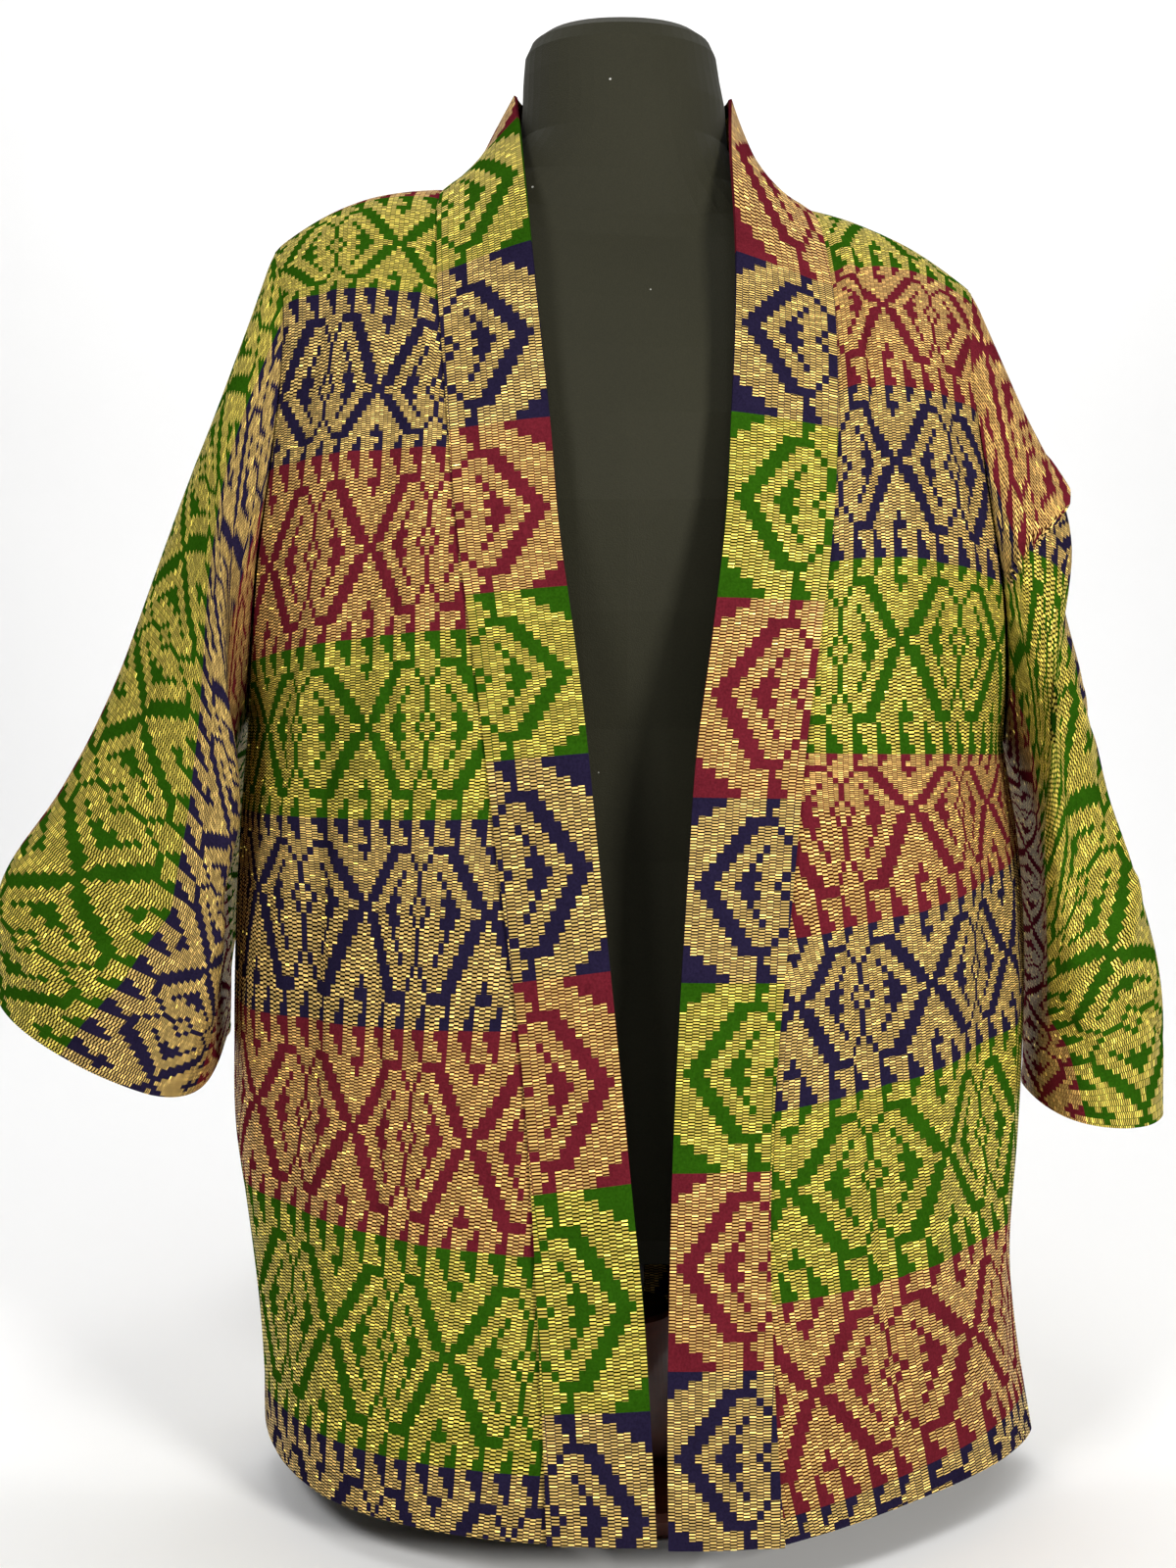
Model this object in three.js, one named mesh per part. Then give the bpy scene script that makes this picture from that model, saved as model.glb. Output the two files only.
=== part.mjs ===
// A haori-style jacket of banded brocade cloth, worn by a limbless dress form on a table stand.
// Millimetres. Z is up, the open front faces -Y, and the floor is z = 0 under the stand.
// "Right" and "left" in the names are the wearer's own right and left.
import * as THREE from "three";

// ---------------------------------------------------------------- driving sizes
const CLOTH_WALL = 1.6;
const COLLAR_WALL = 1.8;
const SEAM_GAP = 0.3;
// How far the collar bows outwards across its width, down the fronts and at the two sides of the neck.
const COLLAR_ROLL = { fronts: 1.6, neckRight: 0.5, neckLeft: -2.5 };
const SHOULDER_TILT = 0.056;
const COLUMNS_SHOULDER = 14;
const COLUMNS_NECK = 10;
const COLUMNS_COLLAR = 4;
const STEPS_PER_ROW = 2;
const ARMPIT_ROW = 7;
const TOP_ROW = 14;

const BASE_RADIUS = 96;
const BASE_HEIGHT = 12;
const BASE_EDGE = 3;
const SOCKET_RADIUS_LOW = 33;
const SOCKET_RADIUS_HIGH = 27;
const SOCKET_TOP = 84;
const SOCKET_EDGE = 2;
const POLE_RADIUS = 11;
const POLE_TOP = 130.6;
const POLE_SIDES = 32;
const BASE_SIDES = 56;
const FORM_SIDES = 48;

// ---------------------------------------------------------------- the two fronts and the collar
// One row per level, from the hem through three skirt rows, the hip, two waist rows, the armpit,
// three chest rows, two yoke rows and the shoulder to the top seam. Each row gives four points of the
// cloth's outer face: the side seam or armhole, the middle of the panel, the collar seam, and the
// collar's free edge.
const FRONT_RIGHT = [
  { side: [-193, 5, 27], mid: [-144, -101, 24], seam: [-36, -150, 24], edge: [12.5, -152, 23.5] },
  { side: [-194, 4, 78], mid: [-147, -103, 78], seam: [-38, -148.5, 78], edge: [9.6, -151, 80] },
  { side: [-200.5, 3, 128], mid: [-149, -102, 128], seam: [-40.3, -147, 128], edge: [6.3, -150.3, 132] },
  { side: [-208.5, 2, 180], mid: [-153, -101, 180], seam: [-43, -145, 180], edge: [0.9, -149.3, 186] },
  { side: [-209.5, 1, 228], mid: [-153, -101, 232], seam: [-47, -143, 236], edge: [-4.4, -148, 242] },
  { side: [-208.5, 0, 290], mid: [-152, -102, 290], seam: [-53, -140.5, 290], edge: [-9.8, -146.2, 296] },
  { side: [-206, 0, 344], mid: [-150, -103, 344], seam: [-60, -138, 344], edge: [-15.2, -144.3, 349] },
  { side: [-202, 0, 396], mid: [-147, -104, 396], seam: [-66, -136, 396], edge: [-20.4, -142, 400] },
  { side: [-193, -42, 428], mid: [-143, -107, 436], seam: [-71.8, -133, 440], edge: [-26, -138.5, 444] },
  { side: [-186, -61, 478], mid: [-138, -108, 484], seam: [-78, -127, 487], edge: [-32.5, -133, 491] },
  { side: [-179, -62, 530], mid: [-134, -102, 535], seam: [-83, -117, 535], edge: [-36.7, -125, 540] },
  { side: [-175.5, -53, 578], mid: [-133, -87, 583], seam: [-87.5, -99, 580], edge: [-41.9, -111, 588] },
  { side: [-177.5, -37, 614], mid: [-136, -66, 624], seam: [-91.5, -76, 622], edge: [-47, -90, 636] },
  { side: [-184.5, -17, 643], mid: [-139, -33, 665], seam: [-93.5, -33, 670.5], edge: [-53.3, -47, 693] },
  { side: [-189, 12, 652], mid: [-139, 14, 677.5], seam: [-86, 12, 684], edge: [-59, 12, 737] },
];
const FRONT_LEFT = [
  { side: [220, 2, 18], mid: [170, -80, 25], seam: [69, -150, 23], edge: [17.6, -153, 22.5] },
  { side: [211.5, 4, 72], mid: [165, -88, 76], seam: [65.5, -149, 76], edge: [17.1, -152, 76] },
  { side: [207.5, 3, 122], mid: [162, -96, 126], seam: [63.3, -147.5, 126], edge: [17.8, -151, 126] },
  { side: [212, 2, 176], mid: [162, -98, 178], seam: [63, -145.5, 178], edge: [19, -149.8, 178] },
  { side: [214.5, 1, 222], mid: [163, -99, 228], seam: [65.3, -143.3, 229], edge: [21, -148.3, 229] },
  { side: [215.5, 0, 276], mid: [164, -100, 279], seam: [69.6, -141, 279], edge: [23.8, -146.6, 280] },
  { side: [212, 0, 332], mid: [162, -102, 332], seam: [75, -138.6, 332], edge: [27.2, -144.5, 333] },
  { side: [204, 0, 385], mid: [156, -104, 385], seam: [80, -136.5, 385], edge: [31.2, -142, 386] },
  { side: [197, -40, 418], mid: [151, -106, 434], seam: [87.5, -132.5, 440], edge: [38.8, -138.5, 441] },
  { side: [191.5, -58, 462], mid: [147, -106, 482], seam: [94, -125.5, 490], edge: [45.2, -132.5, 494] },
  { side: [184.5, -60, 508], mid: [143, -100, 528], seam: [97.5, -115, 536], edge: [48.5, -123, 543] },
  { side: [179, -55, 555], mid: [140, -86, 573], seam: [99.3, -98, 580], edge: [51.5, -108, 590] },
  { side: [178.5, -40, 592], mid: [139, -66, 610], seam: [99.7, -76, 617], edge: [53.5, -88, 633] },
  { side: [184, -18, 620], mid: [140, -32, 647], seam: [97, -32, 660], edge: [54.6, -46, 690] },
  { side: [188, 12, 631.5], mid: [140, 14, 659.5], seam: [86, 12, 678], edge: [58.5, 12, 735] },
];

// ---------------------------------------------------------------- the back
// One row per level. "quarter" and "neck" are points of the right half measured from the row's own
// middle; the left half mirrors them. "tilt" is how far the row follows the shoulders' slope.
const BACK = [
  { level: "hem", middle: [12, 120, 24], quarter: [151, 84, 24], neck: [80, 112, 24], tilt: 0 },
  { level: "skirt 1", middle: [9, 118, 77], quarter: [150, 83, 77], neck: [80, 110, 77], tilt: 0 },
  { level: "skirt 2", middle: [6, 116, 127], quarter: [149, 81, 127], neck: [80, 108, 127], tilt: 0 },
  { level: "skirt 3", middle: [3, 114, 179], quarter: [151, 79, 179], neck: [81, 106, 179], tilt: 0 },
  { level: "hip", middle: [1.5, 112, 231], quarter: [152, 78, 231], neck: [82, 104, 231], tilt: 0 },
  { level: "waist 1", middle: [3, 110, 284], quarter: [152, 78, 284], neck: [83, 102, 284], tilt: 0 },
  { level: "waist 2", middle: [3, 108, 338], quarter: [150, 79, 338], neck: [83, 101, 338], tilt: 0 },
  { level: "armpit", middle: [1, 107, 391], quarter: [148, 80, 391], neck: [84, 101, 391], tilt: 0 },
  { level: "chest 1", middle: [0, 108, 437], quarter: [145, 86, 437], neck: [85, 103, 437], tilt: 0 },
  { level: "chest 2", middle: [0, 110, 485], quarter: [142, 90, 485], neck: [86, 106, 485], tilt: 0 },
  { level: "chest 3", middle: [0, 110, 532], quarter: [140, 90, 532], neck: [86, 106, 532], tilt: 0.2 },
  { level: "yoke 1", middle: [0, 107, 577], quarter: [139, 84, 577], neck: [87, 100, 577], tilt: 0.6 },
  { level: "yoke 2", middle: [0, 101, 615], quarter: [139, 68, 614], neck: [88, 84, 620], tilt: 1 },
  { level: "shoulder", middle: [0, 91, 647], quarter: [139, 44, 644], neck: [88, 52, 659], tilt: 1 },
  { level: "neckline", middle: [0, 80, 675], quarter: [0, 0, 0], neck: [0, 0, 0], tilt: 1 },
];
const NECK_FREE_EDGE_BACK = [0, 68, 735];
const ELLIPSE_SPEED = Math.PI / 2;
// The back halves of the armholes, from just above the armpit to just below the shoulder seam.
const ARMHOLE_BACK = [
  { row: 8, right: [-193, 48, 430], left: [197, 46, 420] },
  { row: 9, right: [-186, 66, 480], left: [191.5, 64, 464] },
  { row: 10, right: [-180, 70, 530], left: [186, 68, 510] },
  { row: 11, right: [-177, 64, 578], left: [181, 62, 557] },
  { row: 12, right: [-178, 52, 612], left: [180, 52, 591] },
  { row: 13, right: [-183, 34, 634], left: [183, 34, 611] },
];

// ---------------------------------------------------------------- the sleeves
// One row per cross-section from the armhole to the cuff: the outer and the inner end of the section
// (x, z), its reach to the front and back, how far its front sags below the line between the ends,
// how far the cloth curls towards the body, and how sharp the section's ends are.
const SLEEVE_RIGHT = [
  { outer: [-189, 652], inner: [-202, 396], front: -62, back: 70, sagFront: 0, curl: 0, square: 0.88 },
  { outer: [-208.5, 586], inner: [-209, 372], front: -72, back: 76, sagFront: 0, curl: 6, square: 0.9 },
  { outer: [-228, 533], inner: [-212, 350], front: -78, back: 80, sagFront: -2, curl: 20, square: 0.92 },
  { outer: [-250, 474], inner: [-213.5, 326], front: -80, back: 80, sagFront: -4, curl: 34, square: 0.95 },
  { outer: [-271.5, 420], inner: [-214, 300], front: -80, back: 78, sagFront: -8, curl: 41, square: 1 },
  { outer: [-300, 364], inner: [-214, 274], front: -78, back: 76, sagFront: -14, curl: 46, square: 1.05 },
  { outer: [-334, 310], inner: [-213, 248], front: -75, back: 72, sagFront: -22, curl: 46, square: 1.1 },
  { outer: [-336, 257], inner: [-213, 228], front: -68, back: 68, sagFront: -31, curl: 36, square: 1.15 },
];
const SLEEVE_LEFT = [
  { outer: [188, 631.5], inner: [204, 385], front: -60, back: 68, sagFront: 0, curl: 0, square: 0.88 },
  { outer: [208, 574], inner: [212, 362], front: -68, back: 72, sagFront: 0, curl: 4, square: 0.9 },
  { outer: [229, 519], inner: [217, 340], front: -72, back: 74, sagFront: -2, curl: 8, square: 0.94 },
  { outer: [230.5, 470], inner: [219, 318], front: -72, back: 74, sagFront: -2, curl: 12, square: 0.96 },
  { outer: [243, 420], inner: [220, 295], front: -70, back: 72, sagFront: -2, curl: 14, square: 0.96 },
  { outer: [254, 362], inner: [220, 272], front: -68, back: 70, sagFront: -2, curl: 14, square: 0.96 },
  { outer: [272.5, 312], inner: [219, 250], front: -66, back: 68, sagFront: -2, curl: 12, square: 0.96 },
  { outer: [285, 257], inner: [218, 225], front: -62, back: 64, sagFront: 0, curl: 10, square: 0.96 },
  { outer: [287, 192], inner: [217.5, 199], front: -58, back: 60, sagFront: -3, curl: 8, square: 0.96 },
];
const CURL_BACK = 0.5;
const ARMHOLE_BLEND = 0.38;

// ---------------------------------------------------------------- the largest folds
// A soft trough (depth below zero) or ridge running from one place to another on a panel. Places are
// a row number and a share of the way across; "reach" is the half-width as a share of the panel.
const FOLDS_FRONT_RIGHT = [
  { name: "chest trough", from: [11.5, 0.72], to: [1.5, 0.36], reach: 0.11, depth: -4.5 },
  { name: "hip ridge", from: [6.5, 0.3], to: [0, 0.2], reach: 0.12, depth: 3.5 },
  { name: "waist crease", from: [7.5, 0.5], to: [3.5, 0.47], reach: 0.06, depth: -2.5 },
];
const FOLDS_FRONT_LEFT = [
  { name: "collar ridge", from: [13.2, 0.84], to: [8.5, 0.88], reach: 0.06, depth: 3 },
  { name: "chest trough", from: [10.5, 0.42], to: [6, 0.4], reach: 0.1, depth: -4 },
  { name: "waist trough", from: [7, 0.3], to: [1, 0.5], reach: 0.11, depth: -5 },
  { name: "skirt crease", from: [7.5, 0.86], to: [0.5, 0.62], reach: 0.06, depth: -3 },
];
const FOLDS_BACK = [
  { name: "right fall", from: [10, 0.24], to: [0, 0.2], reach: 0.035, depth: 3.5 },
  { name: "left fall", from: [10, 0.77], to: [0, 0.82], reach: 0.035, depth: 3.5 },
  { name: "right hollow", from: [9, 0.36], to: [0, 0.37], reach: 0.05, depth: -4 },
  { name: "left hollow", from: [9, 0.64], to: [0, 0.6], reach: 0.05, depth: -4 },
];
// On a sleeve the first number is a share of the length and the second a share of the way round,
// counted from the outer line towards the front.
const FOLDS_SLEEVE_RIGHT = [
  { name: "elbow crease", from: [0.5, 0.36], to: [0.98, 0.2], reach: 0.045, depth: -6 },
  { name: "inner ridge", from: [0.35, 0.3], to: [1, 0.3], reach: 0.05, depth: 4 },
];
const FOLDS_SLEEVE_LEFT = [
  { name: "shoulder fold", from: [0.2, 0.02], to: [0.42, 0.2], reach: 0.05, depth: 4 },
  { name: "front trough", from: [0.3, 0.16], to: [0.75, 0.2], reach: 0.05, depth: -5 },
  { name: "cuff fold", from: [0.72, 0.1], to: [0.86, 0.3], reach: 0.05, depth: 4 },
];
const FOLD_EDGE_FADE = 0.1;

// ---------------------------------------------------------------- the dress form
// One row per ring: half width, reach to the front and back, the ring's height (z) at the sides, the
// front and the back, how far it follows the shoulders' tilt, and its shift to the side.
const FORM = [
  { level: "underside", half: 128, front: -80, back: 88, z: [131, 131, 131], tilt: 0, shift: 0 },
  { level: "lower edge", half: 142, front: -92, back: 100, z: [134, 134, 134], tilt: 0, shift: 0 },
  { level: "skirt", half: 150, front: -98, back: 103, z: [147, 147, 147], tilt: 0, shift: 0 },
  { level: "hips", half: 156, front: -102, back: 103, z: [200, 200, 200], tilt: 0, shift: 0 },
  { level: "upper hips", half: 146, front: -98, back: 98, z: [262, 262, 262], tilt: 0, shift: 0 },
  { level: "waist", half: 126, front: -91, back: 84, z: [330, 330, 330], tilt: 0, shift: 0 },
  { level: "ribs", half: 130, front: -95, back: 84, z: [395, 395, 395], tilt: 0, shift: 0 },
  { level: "under bust", half: 146, front: -106, back: 90, z: [455, 452, 455], tilt: 0, shift: 0 },
  { level: "bust", half: 160, front: -112, back: 95, z: [515, 505, 515], tilt: 0, shift: 0 },
  { level: "upper chest", half: 167, front: -107, back: 97, z: [562, 548, 560], tilt: 0.4, shift: 0 },
  { level: "arm plate", half: 169, front: -95, back: 93, z: [600, 582, 592], tilt: 0.8, shift: 0 },
  { level: "shoulder tip", half: 164, front: -82, back: 86, z: [632, 608, 615], tilt: 1, shift: 0 },
  { level: "shoulder", half: 147, front: -69, back: 76, z: [652.5, 628.5, 635], tilt: 1, shift: 0 },
  { level: "shoulder inner", half: 119, front: -59.5, back: 67, z: [665, 643.5, 651], tilt: 1, shift: 0 },
  { level: "neck base", half: 91, front: -55, back: 59, z: [671.5, 656.5, 666], tilt: 1, shift: 0 },
  { level: "neck root", half: 69, front: -52.5, back: 56.5, z: [681.5, 680, 686], tilt: 1, shift: 0 },
  { level: "neck", half: 55.7, front: -51.5, back: 54, z: [703, 704, 706], tilt: 0.6, shift: 0 },
  { level: "neck top", half: 54.2, front: -50.5, back: 53, z: [724, 724, 724], tilt: 0, shift: 0 },
  { level: "cap 1", half: 52.6, front: -49, back: 51.5, z: [738, 738, 738], tilt: 0, shift: -1.2 },
  { level: "cap 2", half: 51.2, front: -47.5, back: 50, z: [750, 750, 750], tilt: 0, shift: -1.6 },
  { level: "cap 3", half: 48, front: -44.5, back: 47, z: [757, 757, 757], tilt: 0, shift: -1.6 },
  { level: "cap 4", half: 42, front: -38.5, back: 41, z: [761.5, 761.5, 761.5], tilt: 0, shift: -1.6 },
  { level: "cap 5", half: 26, front: -23.5, back: 25, z: [763, 763, 763], tilt: 0, shift: -1.6 },
];
const FORM_SQUARENESS = 0.92;

// ---------------------------------------------------------------- small vector and curve helpers
const vector = (p) => new THREE.Vector3(p[0], p[1], p[2]);
const mix = (a, b, t) => a + (b - a) * t;
const clamp01 = (t) => Math.min(1, Math.max(0, t));

// A smooth curve through evenly numbered points, at a fractional point number.
function curveAt(points, at) {
  const last = points.length - 1;
  const k = Math.min(last - 1, Math.max(0, Math.floor(at)));
  const t = at - k;
  const p1 = points[k];
  const p2 = points[k + 1];
  const p0 = k > 0 ? points[k - 1] : p1.clone().multiplyScalar(2).sub(p2);
  const p3 = k + 2 <= last ? points[k + 2] : p2.clone().multiplyScalar(2).sub(p1);
  const out = new THREE.Vector3();
  out.addScaledVector(p0, 0.5 * (-t + 2 * t * t - t * t * t));
  out.addScaledVector(p1, 0.5 * (2 - 5 * t * t + 3 * t * t * t));
  out.addScaledVector(p2, 0.5 * (t + 4 * t * t - 3 * t * t * t));
  out.addScaledVector(p3, 0.5 * (-t * t + t * t * t));
  return out;
}

// The same for a side line, which turns sharply at the armpit: one curve below it and one above.
function sideAt(points, at) {
  if (at <= ARMPIT_ROW) {
    return curveAt(points.slice(0, ARMPIT_ROW + 1), at);
  }
  return curveAt(points.slice(ARMPIT_ROW), at - ARMPIT_ROW);
}

// The parabola through a (t = 0), m (t = 1/2) and c (t = 1).
function arcThrough(a, m, c, t) {
  const out = new THREE.Vector3();
  out.addScaledVector(a, (1 - t) * (1 - 2 * t));
  out.addScaledVector(m, 4 * t * (1 - t));
  out.addScaledVector(c, t * (2 * t - 1));
  return out;
}

// A cubic from p to q with end slopes dp and dq.
function hermite(p, dp, q, dq, t) {
  const out = new THREE.Vector3();
  out.addScaledVector(p, 1 - 3 * t * t + 2 * t * t * t);
  out.addScaledVector(dp, t - 2 * t * t + t * t * t);
  out.addScaledVector(q, 3 * t * t - 2 * t * t * t);
  out.addScaledVector(dq, t * t * t - t * t);
  return out;
}

const track = (table, column) => table.map((row) => vector(row[column]));

// How far the folds of a panel push its face out (or in) at a place on it.
function foldDepth(folds, along, across, around) {
  let push = 0;
  for (const fold of folds) {
    const t = (along - fold.from[0]) / (fold.to[0] - fold.from[0]);
    if (t > 0 && t < 1) {
      let off = across - mix(fold.from[1], fold.to[1], t);
      if (around) {
        off -= Math.round(off);
      }
      const taper = Math.sqrt(Math.sin(Math.PI * t));
      push += fold.depth * taper * Math.exp(-((off / fold.reach) ** 2));
    }
  }
  return push;
}

// ---------------------------------------------------------------- panels as grids of points
// A grid is grid[row][column]; its outward side is given by the sign "facing".
function gridNormals(grid, facing, closed) {
  const rows = grid.length;
  return grid.map((row, j) => row.map((p, i) => {
    const columns = row.length;
    const left = closed ? row[(i + columns - 1) % columns] : row[Math.max(0, i - 1)];
    const right = closed ? row[(i + 1) % columns] : row[Math.min(columns - 1, i + 1)];
    const down = grid[Math.max(0, j - 1)][i];
    const up = grid[Math.min(rows - 1, j + 1)][i];
    const across = right.clone().sub(left);
    const along = up.clone().sub(down);
    return across.cross(along).normalize().multiplyScalar(facing);
  }));
}

function pushFolds(grid, normals, push) {
  return grid.map((row, j) => row.map((p, i) => p.clone().addScaledVector(normals[j][i], push(j, i))));
}

// Seam edges share one normal on both sides, so that the two walls end face to face.
function shareNormals(first, second) {
  first.forEach((place, k) => {
    const a = place.normals[place.j][place.i];
    const b = second[k].normals[second[k].j][second[k].i];
    const both = a.clone().add(b).normalize();
    place.normals[place.j][place.i] = both;
    second[k].normals[second[k].j][second[k].i] = both.clone();
  });
}

// Where three panels meet, all three share one normal.
function shareCorner(corners) {
  const all = new THREE.Vector3();
  corners.forEach((corner) => all.add(corner.normals[corner.j][corner.i]));
  all.normalize();
  corners.forEach((corner) => {
    corner.normals[corner.j][corner.i] = all.clone();
  });
}

// Move the points of one border towards their inner neighbours by half the seam gap.
function trim(grid, places, step) {
  const moved = places.map(({ j, i }) => {
    const p = grid[j][i];
    const q = grid[j + step.j][i + step.i];
    return q.clone().sub(p).setLength(SEAM_GAP / 2);
  });
  places.forEach(({ j, i }, k) => {
    grid[j][i] = grid[j][i].clone().add(moved[k]);
  });
}

function wallGeometry(grid, normals, wall, closed, facing) {
  const rows = grid.length;
  const columns = grid[0].length;
  const half = rows * columns;
  const positions = [];
  for (const inward of [0, wall]) {
    for (let j = 0; j < rows; j += 1) {
      for (let i = 0; i < columns; i += 1) {
        const p = grid[j][i].clone().addScaledVector(normals[j][i], -inward);
        positions.push(p.x, p.y, p.z);
      }
    }
  }
  const index = [];
  const quad = (a, b, c, d) => {
    if (facing > 0) {
      index.push(a, b, c, a, c, d);
    } else {
      index.push(a, c, b, a, d, c);
    }
  };
  const at = (j, i) => j * columns + (i % columns);
  const spans = closed ? columns : columns - 1;
  for (let j = 0; j < rows - 1; j += 1) {
    for (let i = 0; i < spans; i += 1) {
      quad(at(j, i), at(j, i + 1), at(j + 1, i + 1), at(j + 1, i));
      quad(half + at(j, i), half + at(j + 1, i), half + at(j + 1, i + 1), half + at(j, i + 1));
    }
  }
  for (let i = 0; i < spans; i += 1) {
    quad(at(0, i), half + at(0, i), half + at(0, i + 1), at(0, i + 1));
    quad(at(rows - 1, i), at(rows - 1, i + 1), half + at(rows - 1, i + 1), half + at(rows - 1, i));
  }
  if (!closed) {
    for (let j = 0; j < rows - 1; j += 1) {
      quad(at(j, 0), at(j + 1, 0), half + at(j + 1, 0), half + at(j, 0));
      const e = columns - 1;
      quad(at(j, e), half + at(j, e), half + at(j + 1, e), at(j + 1, e));
    }
  }
  const geometry = new THREE.BufferGeometry();
  geometry.setAttribute("position", new THREE.Float32BufferAttribute(positions, 3));
  geometry.setIndex(index);
  geometry.computeVertexNormals();
  return geometry;
}

// ---------------------------------------------------------------- the body panels
const ROW_STEPS = TOP_ROW * STEPS_PER_ROW;
const ARMPIT_STEP = ARMPIT_ROW * STEPS_PER_ROW;
const edgeFade = (u) => clamp01(Math.min(u, 1 - u) / FOLD_EDGE_FADE);

function frontGrid(table) {
  const side = track(table, "side");
  const mid = track(table, "mid");
  const seam = track(table, "seam");
  const grid = [];
  for (let j = 0; j <= ROW_STEPS; j += 1) {
    const r = j / STEPS_PER_ROW;
    const a = sideAt(side, r);
    const m = curveAt(mid, r);
    const c = curveAt(seam, r);
    const row = [];
    for (let i = 0; i <= COLUMNS_SHOULDER; i += 1) {
      row.push(arcThrough(a, m, c, i / COLUMNS_SHOULDER));
    }
    grid.push(row);
  }
  return grid;
}

// The back's tracks for one side: armhole or side seam, quarter, and the line down from the neck point.
function backTracks(front, sign, column) {
  const last = front[TOP_ROW];
  const place = (row, name) => {
    const x = row.middle[0] + sign * row[name][0];
    return new THREE.Vector3(x, row[name][1], row[name][2] - SHOULDER_TILT * row.tilt * x);
  };
  const side = front.map((row) => vector(row.side));
  for (const hole of ARMHOLE_BACK) {
    side[hole.row] = vector(hole[column]);
  }
  const quarter = BACK.map((row) => place(row, "quarter"));
  const neck = BACK.map((row) => place(row, "neck"));
  quarter[TOP_ROW] = vector(last.mid);
  neck[TOP_ROW] = vector(last.seam);
  return { side, quarter, neck };
}

// One row of the back from the armhole to the neck line; "corner" is 1 where the neckline turns.
function shoulderSpan(s, q, n, slopeAtNeck, t) {
  const slopeSide = s.clone().multiplyScalar(-3).addScaledVector(q, 4).sub(n).multiplyScalar(0.5);
  const slopeQuarter = n.clone().sub(s).multiplyScalar(0.5);
  if (t <= 0.5) {
    return hermite(s, slopeSide, q, slopeQuarter, t * 2);
  }
  return hermite(q, slopeQuarter, n, slopeAtNeck.clone().multiplyScalar(0.5), t * 2 - 1);
}

function backRow(right, left, middle, r) {
  const corner = clamp01((r - TOP_ROW + 2) / 2) ** 2;
  const halves = [right, left].map((tracks) => {
    const s = sideAt(tracks.side, r);
    const q = curveAt(tracks.quarter, r);
    const n = curveAt(tracks.neck, r);
    const own = s.clone().addScaledVector(q, -4).addScaledVector(n, 3);
    const toMiddle = middle.clone().sub(n);
    const smooth = n.clone().sub(q).normalize().add(toMiddle.clone().normalize()).normalize();
    const atNeck = smooth.clone().multiplyScalar(own.length()).lerp(own, corner);
    const round = new THREE.Vector3(0, toMiddle.y * ELLIPSE_SPEED, 0);
    const fromNeck = smooth.clone().multiplyScalar(toMiddle.length()).lerp(round, corner);
    return { s, q, n, atNeck, fromNeck };
  });
  const speed = mix(1.04, ELLIPSE_SPEED, corner);
  const slopeMiddle = halves[1].n.clone().sub(halves[0].n).multiplyScalar(0.5 * speed);
  slopeMiddle.y = 0;
  const row = [];
  const [a, b] = halves;
  for (let i = 0; i <= COLUMNS_SHOULDER; i += 1) {
    row.push(shoulderSpan(a.s, a.q, a.n, a.atNeck, i / COLUMNS_SHOULDER));
  }
  const halfNeck = COLUMNS_NECK / 2;
  for (let i = 1; i <= halfNeck; i += 1) {
    row.push(hermite(a.n, a.fromNeck, middle, slopeMiddle, i / halfNeck));
  }
  for (let i = 1; i <= halfNeck; i += 1) {
    const arriving = b.fromNeck.clone().negate();
    row.push(hermite(middle, slopeMiddle, b.n, arriving, i / halfNeck));
  }
  for (let i = COLUMNS_SHOULDER - 1; i >= 0; i -= 1) {
    row.push(shoulderSpan(b.s, b.q, b.n, b.atNeck, i / COLUMNS_SHOULDER));
  }
  return row;
}

function backGrid() {
  const right = backTracks(FRONT_RIGHT, -1, "right");
  const left = backTracks(FRONT_LEFT, 1, "left");
  const middle = track(BACK, "middle");
  const grid = [];
  for (let j = 0; j <= ROW_STEPS; j += 1) {
    const r = j / STEPS_PER_ROW;
    grid.push(backRow(right, left, curveAt(middle, r), r));
  }
  return grid;
}

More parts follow.
